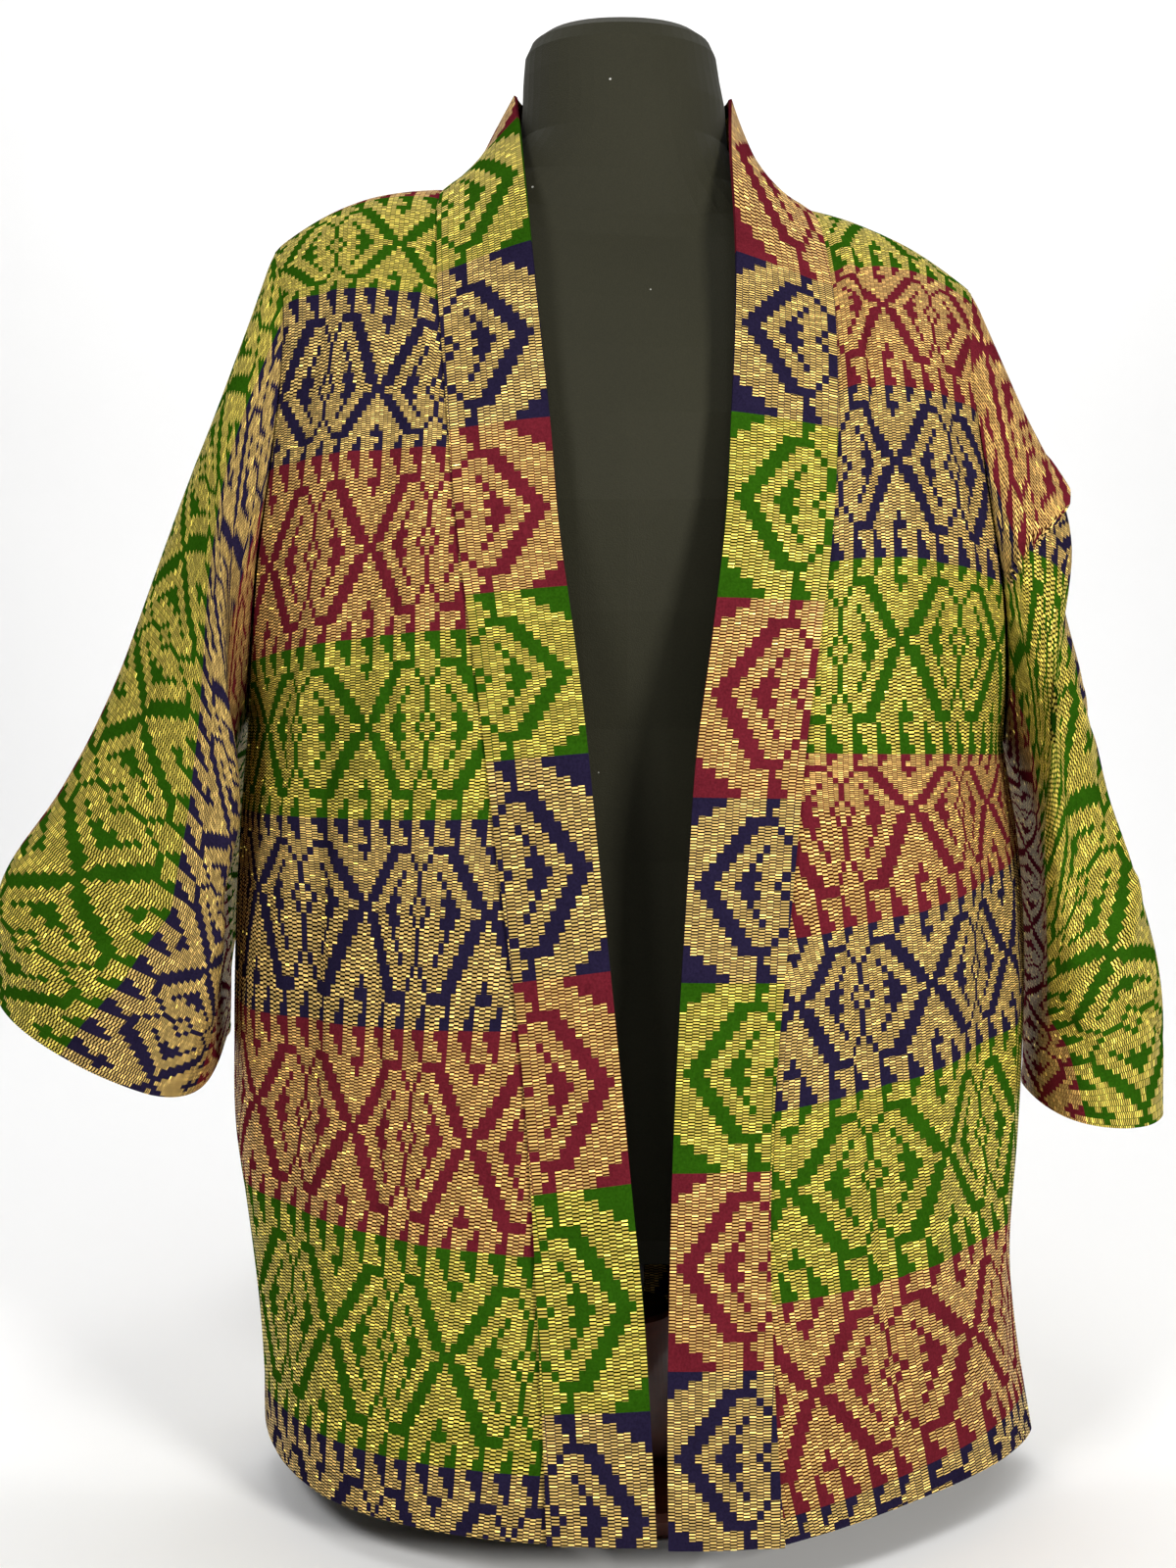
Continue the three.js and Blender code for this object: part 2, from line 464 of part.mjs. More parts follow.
// ---------------------------------------------------------------- the collar
// One band from hem to hem: up the right front, round the back of the neck, down the left front.
function collarGrid(back) {
  const neckRow = back[ROW_STEPS];
  const pairs = [];
  const climb = (table, neckRoll) => {
    const seam = track(table, "seam");
    const edge = track(table, "edge");
    const steps = [];
    for (let j = 0; j <= ROW_STEPS; j += 1) {
      const r = j / STEPS_PER_ROW;
      const bow = mix(COLLAR_ROLL.fronts, neckRoll, clamp01((r - TOP_ROW + 2.5) / 2));
      steps.push({ seam: curveAt(seam, r), edge: curveAt(edge, r), bow });
    }
    return steps;
  };
  pairs.push(...climb(FRONT_RIGHT, COLLAR_ROLL.neckRight));
  const from = vector(FRONT_RIGHT[TOP_ROW].edge);
  const to = vector(FRONT_LEFT[TOP_ROW].edge);
  const middle = vector(NECK_FREE_EDGE_BACK);
  const rise = new THREE.Vector3(0, (middle.y - from.y) * ELLIPSE_SPEED, 0);
  const across = new THREE.Vector3((to.x - from.x) * 0.5 * ELLIPSE_SPEED, 0, 0);
  const halfNeck = COLUMNS_NECK / 2;
  for (let i = 1; i < COLUMNS_NECK; i += 1) {
    const t = i / halfNeck;
    const first = t <= 1;
    const edge = first
      ? hermite(from, rise, middle, across, t)
      : hermite(middle, across, to, rise.clone().negate(), t - 1);
    const bow = mix(COLLAR_ROLL.neckRight, COLLAR_ROLL.neckLeft, i / COLUMNS_NECK);
    pairs.push({ seam: neckRow[COLUMNS_SHOULDER + i], edge, bow });
  }
  pairs.push(...climb(FRONT_LEFT, COLLAR_ROLL.neckLeft).reverse());
  const roll = pairs.map((pair, k) => {
    const before = pairs[Math.max(0, k - 1)];
    const after = pairs[Math.min(pairs.length - 1, k + 1)];
    const along = after.seam.clone().sub(before.seam);
    return along.cross(pair.edge.clone().sub(pair.seam)).normalize().negate();
  });
  return pairs.map((pair, k) => {
    const row = [];
    for (let i = 0; i <= COLUMNS_COLLAR; i += 1) {
      const t = i / COLUMNS_COLLAR;
      const p = pair.seam.clone().lerp(pair.edge, t);
      row.push(p.addScaledVector(roll[k], pair.bow * 4 * t * (1 - t)));
    }
    return row;
  });
}

// ---------------------------------------------------------------- the sleeves
function sleeveGrid(table, ring, sign) {
  const count = ring.length;
  const value = (name) => table.map((row) => new THREE.Vector3(row[name], 0, 0));
  const outer = table.map((row) => new THREE.Vector3(row.outer[0], 0, row.outer[1]));
  const inner = table.map((row) => new THREE.Vector3(row.inner[0], 0, row.inner[1]));
  const columns = {};
  for (const name of ["front", "back", "sagFront", "curl", "square"]) {
    columns[name] = value(name);
  }
  const section = (s) => {
    const o = curveAt(outer, s);
    const n = curveAt(inner, s);
    const read = (name) => curveAt(columns[name], s).x;
    const centre = o.clone().add(n).multiplyScalar(0.5);
    const reach = o.clone().sub(centre);
    return ring.map((unused, i) => {
      const angle = (2 * Math.PI * i) / count;
      const c = Math.cos(angle);
      const f = Math.sin(angle);
      const cs = Math.sign(c) * Math.abs(c) ** read("square");
      const fs = Math.abs(f) ** read("square");
      const p = centre.clone().addScaledVector(reach, cs);
      p.y += (f > 0 ? read("front") : read("back")) * fs;
      p.z += f > 0 ? read("sagFront") * fs : 0;
      p.x -= sign * read("curl") * f * f * (f > 0 ? 1 : CURL_BACK);
      return p;
    });
  };
  const first = section(0);
  const steps = (table.length - 1) * STEPS_PER_ROW;
  const grid = [];
  for (let j = 0; j <= steps; j += 1) {
    const fade = clamp01(1 - j / steps / ARMHOLE_BLEND) ** 2;
    const row = section(j / STEPS_PER_ROW);
    row.forEach((p, i) => p.addScaledVector(ring[i].clone().sub(first[i]), fade));
    grid.push(row);
  }
  return grid;
}

// ---------------------------------------------------------------- build the cloth
const places = (normals, list) => list.map(([j, i]) => ({ normals, j, i }));
const range = (from, to) => {
  const list = [];
  const step = from <= to ? 1 : -1;
  for (let k = from; k !== to + step; k += step) {
    list.push(k);
  }
  return list;
};

const front = { right: frontGrid(FRONT_RIGHT), left: frontGrid(FRONT_LEFT) };
let back = backGrid();
const BACK_LAST = back[0].length - 1;
const facing = { right: 1, left: -1, back: -1 };
const frontNormals = {
  right: gridNormals(front.right, facing.right, false),
  left: gridNormals(front.left, facing.left, false),
};
let backNormals = gridNormals(back, facing.back, false);

const alongFront = (folds) => (j, i) => {
  const u = i / COLUMNS_SHOULDER;
  return foldDepth(folds, j / STEPS_PER_ROW, u, false) * edgeFade(u);
};
front.right = pushFolds(front.right, frontNormals.right, alongFront(FOLDS_FRONT_RIGHT));
front.left = pushFolds(front.left, frontNormals.left, alongFront(FOLDS_FRONT_LEFT));
back = pushFolds(back, backNormals, (j, i) => {
  const u = i / BACK_LAST;
  return foldDepth(FOLDS_BACK, j / STEPS_PER_ROW, u, false) * edgeFade(u);
});
frontNormals.right = gridNormals(front.right, facing.right, false);
frontNormals.left = gridNormals(front.left, facing.left, false);
backNormals = gridNormals(back, facing.back, false);

const collar = collarGrid(back);
const collarNormals = gridNormals(collar, 1, false);

// The armhole ring: from the shoulder seam down the front edge to the armpit, up the back edge.
function armholeRing(frontSide, backColumn) {
  const ring = range(ROW_STEPS, ARMPIT_STEP).map((j) => frontSide[j][0].clone());
  ring.push(...range(ARMPIT_STEP + 1, ROW_STEPS - 1).map((j) => back[j][backColumn].clone()));
  return ring;
}
const RING_COUNT = 2 * (ROW_STEPS - ARMPIT_STEP);
const sleeve = {
  right: sleeveGrid(SLEEVE_RIGHT, armholeRing(front.right, 0), -1),
  left: sleeveGrid(SLEEVE_LEFT, armholeRing(front.left, BACK_LAST), 1),
};
const sleeveFacing = { right: -1, left: 1 };
const sleeveNormals = {};
for (const hand of ["right", "left"]) {
  const folds = hand === "right" ? FOLDS_SLEEVE_RIGHT : FOLDS_SLEEVE_LEFT;
  const steps = sleeve[hand].length - 1;
  const bare = gridNormals(sleeve[hand], sleeveFacing[hand], true);
  sleeve[hand] = pushFolds(sleeve[hand], bare, (j, i) => {
    return foldDepth(folds, j / steps, i / RING_COUNT, true) * clamp01(j / steps / FOLD_EDGE_FADE);
  });
  sleeveNormals[hand] = gridNormals(sleeve[hand], sleeveFacing[hand], true);
}

// ---------------------------------------------------------------- seams
const rows = range(0, ROW_STEPS);
const shoulderColumns = range(0, COLUMNS_SHOULDER);
for (const hand of ["right", "left"]) {
  const backSide = hand === "right" ? 0 : BACK_LAST;
  const sideRows = range(0, ARMPIT_STEP);
  shareNormals(
    places(frontNormals[hand], sideRows.map((j) => [j, 0])),
    places(backNormals, sideRows.map((j) => [j, backSide])),
  );
  shareNormals(
    places(frontNormals[hand], shoulderColumns.map((i) => [ROW_STEPS, i])),
    places(backNormals, shoulderColumns.map((i) => [ROW_STEPS, hand === "right" ? i : BACK_LAST - i])),
  );
  const collarRow = (j) => (hand === "right" ? j : collar.length - 1 - j);
  shareNormals(
    places(frontNormals[hand], rows.map((j) => [j, COLUMNS_SHOULDER])),
    places(collarNormals, rows.map((j) => [collarRow(j), 0])),
  );
  shareNormals(
    places(frontNormals[hand], range(ROW_STEPS, ARMPIT_STEP).map((j) => [j, 0])),
    places(sleeveNormals[hand], range(0, ROW_STEPS - ARMPIT_STEP).map((i) => [0, i])),
  );
  shareNormals(
    places(backNormals, range(ARMPIT_STEP + 1, ROW_STEPS - 1).map((j) => [j, backSide])),
    places(sleeveNormals[hand], range(ROW_STEPS - ARMPIT_STEP + 1, RING_COUNT - 1).map((i) => [0, i])),
  );
  const neckPoint = hand === "right" ? COLUMNS_SHOULDER : BACK_LAST - COLUMNS_SHOULDER;
  shareCorner([
    { normals: frontNormals[hand], j: ROW_STEPS, i: 0 },
    { normals: backNormals, j: ROW_STEPS, i: backSide },
    { normals: sleeveNormals[hand], j: 0, i: 0 },
  ]);
  shareCorner([
    { normals: frontNormals[hand], j: ROW_STEPS, i: COLUMNS_SHOULDER },
    { normals: backNormals, j: ROW_STEPS, i: neckPoint },
    { normals: collarNormals, j: collarRow(ROW_STEPS), i: 0 },
  ]);
}
const neckColumns = range(1, COLUMNS_NECK - 1);
shareNormals(
  places(backNormals, neckColumns.map((i) => [ROW_STEPS, COLUMNS_SHOULDER + i])),
  places(collarNormals, neckColumns.map((i) => [ROW_STEPS + i, 0])),
);

for (const hand of ["right", "left"]) {
  const grid = front[hand];
  trim(grid, rows.map((j) => ({ j, i: 0 })), { j: 0, i: 1 });
  trim(grid, rows.map((j) => ({ j, i: COLUMNS_SHOULDER })), { j: 0, i: -1 });
  trim(grid, shoulderColumns.map((i) => ({ j: ROW_STEPS, i })), { j: -1, i: 0 });
  trim(sleeve[hand], range(0, RING_COUNT - 1).map((i) => ({ j: 0, i })), { j: 1, i: 0 });
}
trim(back, rows.map((j) => ({ j, i: 0 })), { j: 0, i: 1 });
trim(back, rows.map((j) => ({ j, i: BACK_LAST })), { j: 0, i: -1 });
trim(back, range(0, BACK_LAST).map((i) => ({ j: ROW_STEPS, i })), { j: -1, i: 0 });
trim(collar, range(0, collar.length - 1).map((j) => ({ j, i: 0 })), { j: 0, i: 1 });

// ---------------------------------------------------------------- the form and its stand
function formGeometry() {
  const positions = [];
  const rings = FORM.length;
  for (const ring of FORM) {
    for (let k = 0; k < FORM_SIDES; k += 1) {
      const angle = (2 * Math.PI * k) / FORM_SIDES;
      const c = Math.cos(angle);
      const s = Math.sin(angle);
      const x = ring.shift + ring.half * Math.sign(c) * Math.abs(c) ** FORM_SQUARENESS;
      const reach = s < 0 ? -ring.front : ring.back;
      const y = reach * Math.sign(s) * Math.abs(s) ** FORM_SQUARENESS;
      const [sideZ, frontZ, backZ] = ring.z;
      const z = mix(sideZ, s < 0 ? frontZ : backZ, s * s) - SHOULDER_TILT * ring.tilt * x;
      positions.push(x, y, z);
    }
  }
  const first = FORM[0];
  const last = FORM[rings - 1];
  const bottom = positions.length / 3;
  positions.push(0, 0, first.z[0]);
  positions.push(last.shift, 0, last.z[0]);
  const index = [];
  for (let j = 0; j < rings - 1; j += 1) {
    for (let k = 0; k < FORM_SIDES; k += 1) {
      const a = j * FORM_SIDES + k;
      const b = j * FORM_SIDES + ((k + 1) % FORM_SIDES);
      index.push(a, b, b + FORM_SIDES, a, b + FORM_SIDES, a + FORM_SIDES);
    }
  }
  const top = (rings - 1) * FORM_SIDES;
  for (let k = 0; k < FORM_SIDES; k += 1) {
    const next = (k + 1) % FORM_SIDES;
    index.push(bottom, next, k);
    index.push(bottom + 1, top + k, top + next);
  }
  const geometry = new THREE.BufferGeometry();
  geometry.setAttribute("position", new THREE.Float32BufferAttribute(positions, 3));
  geometry.setIndex(index);
  geometry.computeVertexNormals();
  return geometry;
}

function turned(profile, sides) {
  const geometry = new THREE.LatheGeometry(profile.map((p) => new THREE.Vector2(p[0], p[1])), sides);
  geometry.rotateX(Math.PI / 2);
  return geometry;
}

const baseProfile = [
  [0, 0],
  [BASE_RADIUS - BASE_EDGE, 0],
  [BASE_RADIUS, BASE_EDGE],
  [BASE_RADIUS, BASE_HEIGHT - BASE_EDGE],
  [BASE_RADIUS - BASE_EDGE, BASE_HEIGHT],
  [SOCKET_RADIUS_LOW, BASE_HEIGHT],
  [SOCKET_RADIUS_HIGH, SOCKET_TOP - SOCKET_EDGE],
  [SOCKET_RADIUS_HIGH - SOCKET_EDGE, SOCKET_TOP],
  [0, SOCKET_TOP],
];
const poleProfile = [
  [0, SOCKET_TOP + SEAM_GAP],
  [POLE_RADIUS, SOCKET_TOP + SEAM_GAP],
  [POLE_RADIUS, POLE_TOP],
  [0, POLE_TOP],
];

// ---------------------------------------------------------------- the finished group
const COLOURS = {
  front_right: "#8a8a45",
  front_left: "#96703f",
  back: "#7d7440",
  sleeve_right: "#7f8a3a",
  sleeve_left: "#85803c",
  collar: "#8f7a44",
  form_torso: "#2e2c20",
  stand_pole: "#2b2b2d",
  stand_base: "#3a1d12",
};
const FINISHES = {
  cloth: { roughness: 0.75, metalness: 0.1 },
  cover: { roughness: 0.9, metalness: 0 },
  metal: { roughness: 0.4, metalness: 0.8 },
  wood: { roughness: 0.5, metalness: 0 },
};
const group = new THREE.Group();
group.name = "haori_jacket_on_form";

function addPiece(name, finish, geometry) {
  const material = new THREE.MeshStandardMaterial({ color: COLOURS[name], ...FINISHES[finish] });
  material.name = name;
  const mesh = new THREE.Mesh(geometry, material);
  mesh.name = name;
  group.add(mesh);
}

for (const hand of ["right", "left"]) {
  const geometry = wallGeometry(front[hand], frontNormals[hand], CLOTH_WALL, false, facing[hand]);
  addPiece(`front_${hand}`, "cloth", geometry);
}
addPiece("back", "cloth", wallGeometry(back, backNormals, CLOTH_WALL, false, facing.back));
for (const hand of ["right", "left"]) {
  const geometry = wallGeometry(sleeve[hand], sleeveNormals[hand], CLOTH_WALL, true, sleeveFacing[hand]);
  addPiece(`sleeve_${hand}`, "cloth", geometry);
}
addPiece("collar", "cloth", wallGeometry(collar, collarNormals, COLLAR_WALL, false, 1));
addPiece("form_torso", "cover", formGeometry());
addPiece("stand_pole", "metal", turned(poleProfile, POLE_SIDES));
addPiece("stand_base", "wood", turned(baseProfile, BASE_SIDES));

export default group;
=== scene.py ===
"""The looks of a haori-style jacket of banded brocade on a limbless dress form."""
import math

import bpy
import numpy as np
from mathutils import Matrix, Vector, noise


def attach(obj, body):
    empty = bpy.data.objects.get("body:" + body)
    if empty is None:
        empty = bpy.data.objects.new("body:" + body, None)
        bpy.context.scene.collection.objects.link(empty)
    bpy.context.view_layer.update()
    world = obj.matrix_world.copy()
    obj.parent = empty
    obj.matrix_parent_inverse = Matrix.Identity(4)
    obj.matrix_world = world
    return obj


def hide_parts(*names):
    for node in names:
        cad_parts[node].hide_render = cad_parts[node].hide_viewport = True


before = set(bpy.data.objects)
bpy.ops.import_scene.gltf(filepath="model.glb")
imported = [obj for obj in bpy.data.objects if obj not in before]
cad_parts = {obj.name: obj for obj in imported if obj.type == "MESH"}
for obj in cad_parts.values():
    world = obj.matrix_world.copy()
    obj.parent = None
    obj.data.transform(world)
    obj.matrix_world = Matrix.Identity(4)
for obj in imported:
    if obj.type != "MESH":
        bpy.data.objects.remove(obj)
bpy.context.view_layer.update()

# ---------------------------------------------------------------- sizes, in millimetres
MM = 0.001
CLOTH_WALL = 1.4
COLLAR_WALL = 1.8
SHOULDER_TILT = 0.056
ARMPIT_ROW = 7
TOP_ROW = 14
COLLAR_ROLL = {"fronts": 1.6, "neck_right": 0.5, "neck_left": -2.5}
STEPS = 12  # grid rows for each row of a table
FRONT_COLUMNS = 64
NECK_COLUMNS = 40
COLLAR_COLUMNS = 16
NECK_ROWS = 5  # rows that the collar counts round the neck
ELLIPSE_SPEED = math.pi / 2  # makes a cubic curve follow a quarter of an ellipse
MIDDLE_SPEED = 1.04  # the same for the back's middle below the neck
CORNER_ROWS = 2  # rows below the shoulder over which the neck's corner forms
ROLL_ROWS = (2.5, 2)  # where the collar's roll starts to change, below the shoulder, and over how much
SHARP_ANGLE = 60  # degrees
ON_THE_LINE = 1e-12  # a sine below this counts as nought

# One row per level from the hem to the shoulder seam: the side, the middle, the collar seam and the
# collar's free edge.
FRONT_RIGHT = [
    [(-193, 5, 27), (-144, -101, 24), (-36, -150, 24), (12.5, -152, 23.5)],
    [(-194, 4, 78), (-147, -103, 78), (-38, -148.5, 78), (9.6, -151, 80)],
    [(-200.5, 3, 128), (-149, -102, 128), (-40.3, -147, 128), (6.3, -150.3, 132)],
    [(-208.5, 2, 180), (-153, -101, 180), (-43, -145, 180), (0.9, -149.3, 186)],
    [(-209.5, 1, 228), (-153, -101, 232), (-47, -143, 236), (-4.4, -148, 242)],
    [(-208.5, 0, 290), (-152, -102, 290), (-53, -140.5, 290), (-9.8, -146.2, 296)],
    [(-206, 0, 344), (-150, -103, 344), (-60, -138, 344), (-15.2, -144.3, 349)],
    [(-202, 0, 396), (-147, -104, 396), (-66, -136, 396), (-20.4, -142, 400)],
    [(-193, -42, 428), (-143, -107, 436), (-71.8, -133, 440), (-26, -138.5, 444)],
    [(-186, -61, 478), (-138, -108, 484), (-78, -127, 487), (-32.5, -133, 491)],
    [(-179, -62, 530), (-134, -102, 535), (-83, -117, 535), (-36.7, -125, 540)],
    [(-175.5, -53, 578), (-133, -87, 583), (-87.5, -99, 580), (-41.9, -111, 588)],
    [(-177.5, -37, 614), (-136, -66, 624), (-91.5, -76, 622), (-47, -90, 636)],
    [(-184.5, -17, 643), (-139, -33, 665), (-93.5, -33, 670.5), (-53.3, -47, 693)],
    [(-189, 12, 652), (-139, 14, 677.5), (-86, 12, 684), (-59, 12, 737)],
]
FRONT_LEFT = [
    [(220, 2, 18), (170, -80, 25), (69, -150, 23), (17.6, -153, 22.5)],
    [(211.5, 4, 72), (165, -88, 76), (65.5, -149, 76), (17.1, -152, 76)],
    [(207.5, 3, 122), (162, -96, 126), (63.3, -147.5, 126), (17.8, -151, 126)],
    [(212, 2, 176), (162, -98, 178), (63, -145.5, 178), (19, -149.8, 178)],
    [(214.5, 1, 222), (163, -99, 228), (65.3, -143.3, 229), (21, -148.3, 229)],
    [(215.5, 0, 276), (164, -100, 279), (69.6, -141, 279), (23.8, -146.6, 280)],
    [(212, 0, 332), (162, -102, 332), (75, -138.6, 332), (27.2, -144.5, 333)],
    [(204, 0, 385), (156, -104, 385), (80, -136.5, 385), (31.2, -142, 386)],
    [(197, -40, 418), (151, -106, 434), (87.5, -132.5, 440), (38.8, -138.5, 441)],
    [(191.5, -58, 462), (147, -106, 482), (94, -125.5, 490), (45.2, -132.5, 494)],
    [(184.5, -60, 508), (143, -100, 528), (97.5, -115, 536), (48.5, -123, 543)],
    [(179, -55, 555), (140, -86, 573), (99.3, -98, 580), (51.5, -108, 590)],
    [(178.5, -40, 592), (139, -66, 610), (99.7, -76, 617), (53.5, -88, 633)],
    [(184, -18, 620), (140, -32, 647), (97, -32, 660), (54.6, -46, 690)],
    [(188, 12, 631.5), (140, 14, 659.5), (86, 12, 678), (58.5, 12, 735)],
]
# The back: the middle, a quarter point, the line below the neck point, and the row's tilt.
BACK = [
    [(12, 120, 24), (151, 84, 24), (80, 112, 24), 0],
    [(9, 118, 77), (150, 83, 77), (80, 110, 77), 0],
    [(6, 116, 127), (149, 81, 127), (80, 108, 127), 0],
    [(3, 114, 179), (151, 79, 179), (81, 106, 179), 0],
    [(1.5, 112, 231), (152, 78, 231), (82, 104, 231), 0],
    [(3, 110, 284), (152, 78, 284), (83, 102, 284), 0],
    [(3, 108, 338), (150, 79, 338), (83, 101, 338), 0],
    [(1, 107, 391), (148, 80, 391), (84, 101, 391), 0],
    [(0, 108, 437), (145, 86, 437), (85, 103, 437), 0],
    [(0, 110, 485), (142, 90, 485), (86, 106, 485), 0],
    [(0, 110, 532), (140, 90, 532), (86, 106, 532), 0.2],
    [(0, 107, 577), (139, 84, 577), (87, 100, 577), 0.6],
    [(0, 101, 615), (139, 68, 614), (88, 84, 620), 1],
    [(0, 91, 647), (139, 44, 644), (88, 52, 659), 1],
    [(0, 80, 675), (0, 0, 0), (0, 0, 0), 1],
]
NECK_FREE_EDGE_BACK = (0, 68, 735)
ARMHOLE_BACK_RIGHT = {8: (-193, 48, 430), 9: (-186, 66, 480), 10: (-180, 70, 530),
                      11: (-177, 64, 578), 12: (-178, 52, 612), 13: (-183, 34, 634)}
ARMHOLE_BACK_LEFT = {8: (197, 46, 420), 9: (191.5, 64, 464), 10: (186, 68, 510),
                     11: (181, 62, 557), 12: (180, 52, 591), 13: (183, 34, 611)}
# Sleeve sections: outer x z, inner x z, front, back, sag of the front, curl, squareness.
SLEEVE_RIGHT = [
    [-189, 652, -202, 396, -62, 70, 0, 0, 0.88],
    [-208.5, 586, -209, 372, -72, 76, 0, 6, 0.9],
    [-228, 533, -212, 350, -78, 80, -2, 20, 0.92],
    [-250, 474, -213.5, 326, -80, 80, -4, 34, 0.95],
    [-271.5, 420, -214, 300, -80, 78, -8, 41, 1],
    [-300, 364, -214, 274, -78, 76, -14, 46, 1.05],
    [-334, 310, -213, 248, -75, 72, -22, 46, 1.1],
    [-336, 257, -213, 228, -68, 68, -31, 36, 1.15],
]
SLEEVE_LEFT = [
    [188, 631.5, 204, 385, -60, 68, 0, 0, 0.88],
    [208, 574, 212, 362, -68, 72, 0, 4, 0.9],
    [229, 519, 217, 340, -72, 74, -2, 8, 0.94],
    [230.5, 470, 219, 318, -72, 74, -2, 12, 0.96],
    [243, 420, 220, 295, -70, 72, -2, 14, 0.96],
    [254, 362, 220, 272, -68, 70, -2, 14, 0.96],
    [272.5, 312, 219, 250, -66, 68, -2, 12, 0.96],
    [285, 257, 218, 225, -62, 64, 0, 10, 0.96],
    [287, 192, 217.5, 199, -58, 60, -3, 8, 0.96],
]
CURL_BACK = 0.5
ARMHOLE_BLEND = 0.38

# ---------------------------------------------------------------- folds
# Each is a soft trough (depth below zero) or ridge: from (row, share across), to (row, share across),
# half-width as a share of the panel, depth in millimetres.
FOLDS_FRONT_RIGHT = [
    [(11.5, 0.72), (1.5, 0.36), 0.11, -4.5],
    [(6.5, 0.3), (0, 0.2), 0.12, 3.5],
    [(7.5, 0.5), (3.5, 0.47), 0.06, -2.5],
    [(9.2, 0.74), (1.2, 0.66), 0.024, -2.6],
    [(8.6, 0.70), (2.8, 0.71), 0.018, 1.8],
    [(7.4, 0.80), (2.0, 0.74), 0.016, -2.0],
    [(8.6, 0.30), (3.8, 0.34), 0.03, -1.8],
    [(7.9, 0.56), (2.6, 0.53), 0.025, 1.4],
    [(12.6, 0.86), (9.6, 0.93), 0.035, 1.6],
    [(12.4, 0.30), (9.2, 0.16), 0.07, -2.2],
    [(5.4, 0.78), (0.4, 0.80), 0.05, 1.5],
    [(3.6, 0.12), (0.3, 0.08), 0.03, -2.0],
]
FOLDS_FRONT_LEFT = [
    [(13.2, 0.84), (8.5, 0.88), 0.06, 3],
    [(10.5, 0.42), (6, 0.4), 0.1, -4],
    [(7, 0.3), (1, 0.5), 0.11, -5],
    [(7.5, 0.86), (0.5, 0.62), 0.06, -3],
    [(12.8, 0.76), (8.8, 0.78), 0.025, -2.2],
    [(8.4, 0.62), (3.4, 0.70), 0.04, 1.8],
    [(7.2, 0.91), (0.5, 0.68), 0.016, -2.8],
    [(7.0, 0.87), (0.8, 0.64), 0.016, 1.6],
    [(6.0, 0.2), (0.4, 0.26), 0.045, 2.2],
    [(11.6, 0.22), (8.6, 0.14), 0.05, -2.0],
]
FOLDS_BACK = [
    [(10, 0.24), (0, 0.2), 0.035, 3.5],
    [(10, 0.77), (0, 0.82), 0.035, 3.5],
    [(9, 0.36), (0, 0.37), 0.05, -4],
    [(9, 0.64), (0, 0.6), 0.05, -4],
    [(8.4, 0.44), (0.6, 0.46), 0.02, 1.8],
    [(7.2, 0.55), (1.6, 0.53), 0.018, 1.6],
    [(9.6, 0.30), (3.1, 0.29), 0.014, -1.8],
    [(8.8, 0.71), (2.2, 0.73), 0.016, -1.9],
    [(12.4, 0.46), (9.4, 0.41), 0.03, -1.5],
    [(12.6, 0.55), (9.8, 0.60), 0.03, -1.6],
    [(5.0, 0.12), (0.2, 0.10), 0.02, -1.8],
    [(6.2, 0.90), (0.4, 0.91), 0.02, -1.8],
]
# On a sleeve: share of the length, share of the way round from the outer line towards the front.
FOLDS_SLEEVE_RIGHT = [
    [(0.5, 0.36), (0.98, 0.2), 0.045, -6],
    [(0.35, 0.3), (1, 0.3), 0.05, 4],
    [(0.62, 0.30), (0.86, 0.13), 0.016, -3.0],
    [(0.66, 0.33), (0.84, 0.26), 0.014, 2.4],
    [(0.22, 0.13), (0.74, 0.07), 0.03, -2.6],
    [(0.12, 0.22), (0.60, 0.20), 0.025, 2.2],
    [(0.86, 0.06), (0.98, 0.22), 0.03, 2.0],
    [(0.30, 0.86), (0.95, 0.78), 0.035, -3.5],
    [(0.25, 0.70), (0.92, 0.66), 0.03, 2.6],
    [(0.45, 0.60), (0.98, 0.57), 0.025, -2.6],
    [(0.55, 0.42), (0.98, 0.44), 0.02, -2.4],
]
FOLDS_SLEEVE_LEFT = [
    [(0.2, 0.02), (0.42, 0.2), 0.05, 4],
    [(0.3, 0.16), (0.75, 0.2), 0.05, -5],
    [(0.72, 0.1), (0.86, 0.3), 0.05, 4],
    [(0.78, 0.28), (0.93, 0.06), 0.018, -3.2],
    [(0.80, 0.36), (0.99, 0.22), 0.02, -2.6],
    [(0.50, 0.02), (0.78, 0.10), 0.02, 2.4],
    [(0.46, 0.10), (0.62, -0.02), 0.018, -2.4],
    [(0.30, 0.34), (0.96, 0.40), 0.025, 2.2],
    [(0.30, 0.88), (0.95, 0.80), 0.035, -3.5],
    [(0.20, 0.72), (0.90, 0.68), 0.03, 2.6],
    [(0.45, 0.60), (0.98, 0.57), 0.025, -2.6],
]
FOLD_EDGE_FADE = 0.1
# The spans on which the back's folds were placed: at each shoulder, and at the neck.
SHOULDER_SPANS = 14
NECK_SPANS = 10

# Faint unevenness all over the cloth: height, size of the broad and the fine part, share of the fine
# part, stretch of each downwards, and where in the noise each piece starts.
RIPPLE = 0.55
RIPPLE_SIZE = 70.0
RIPPLE_FINE = 24.0
RIPPLE_FINE_SHARE = 0.35
RIPPLE_STRETCH = (1.6, 2.2)
RIPPLE_START = {"front_right": 3.1, "front_left": 7.7, "back": 12.9, "collar": 21.3,
                "sleeve_right": 31.4, "sleeve_left": 45.2}
COLLAR_RIPPLE_SHARE = 0.5

# Where a panel sinks into a seam: depth and width.
COLLAR_SEAM_DIP = (1.3, 3.5)
SIDE_SEAM_DIP = (0.7, 3.0)
ARMHOLE_DIP = (0.9, 4.0)
SLEEVE_LENGTH = 400  # about, to turn a share of the length into millimetres
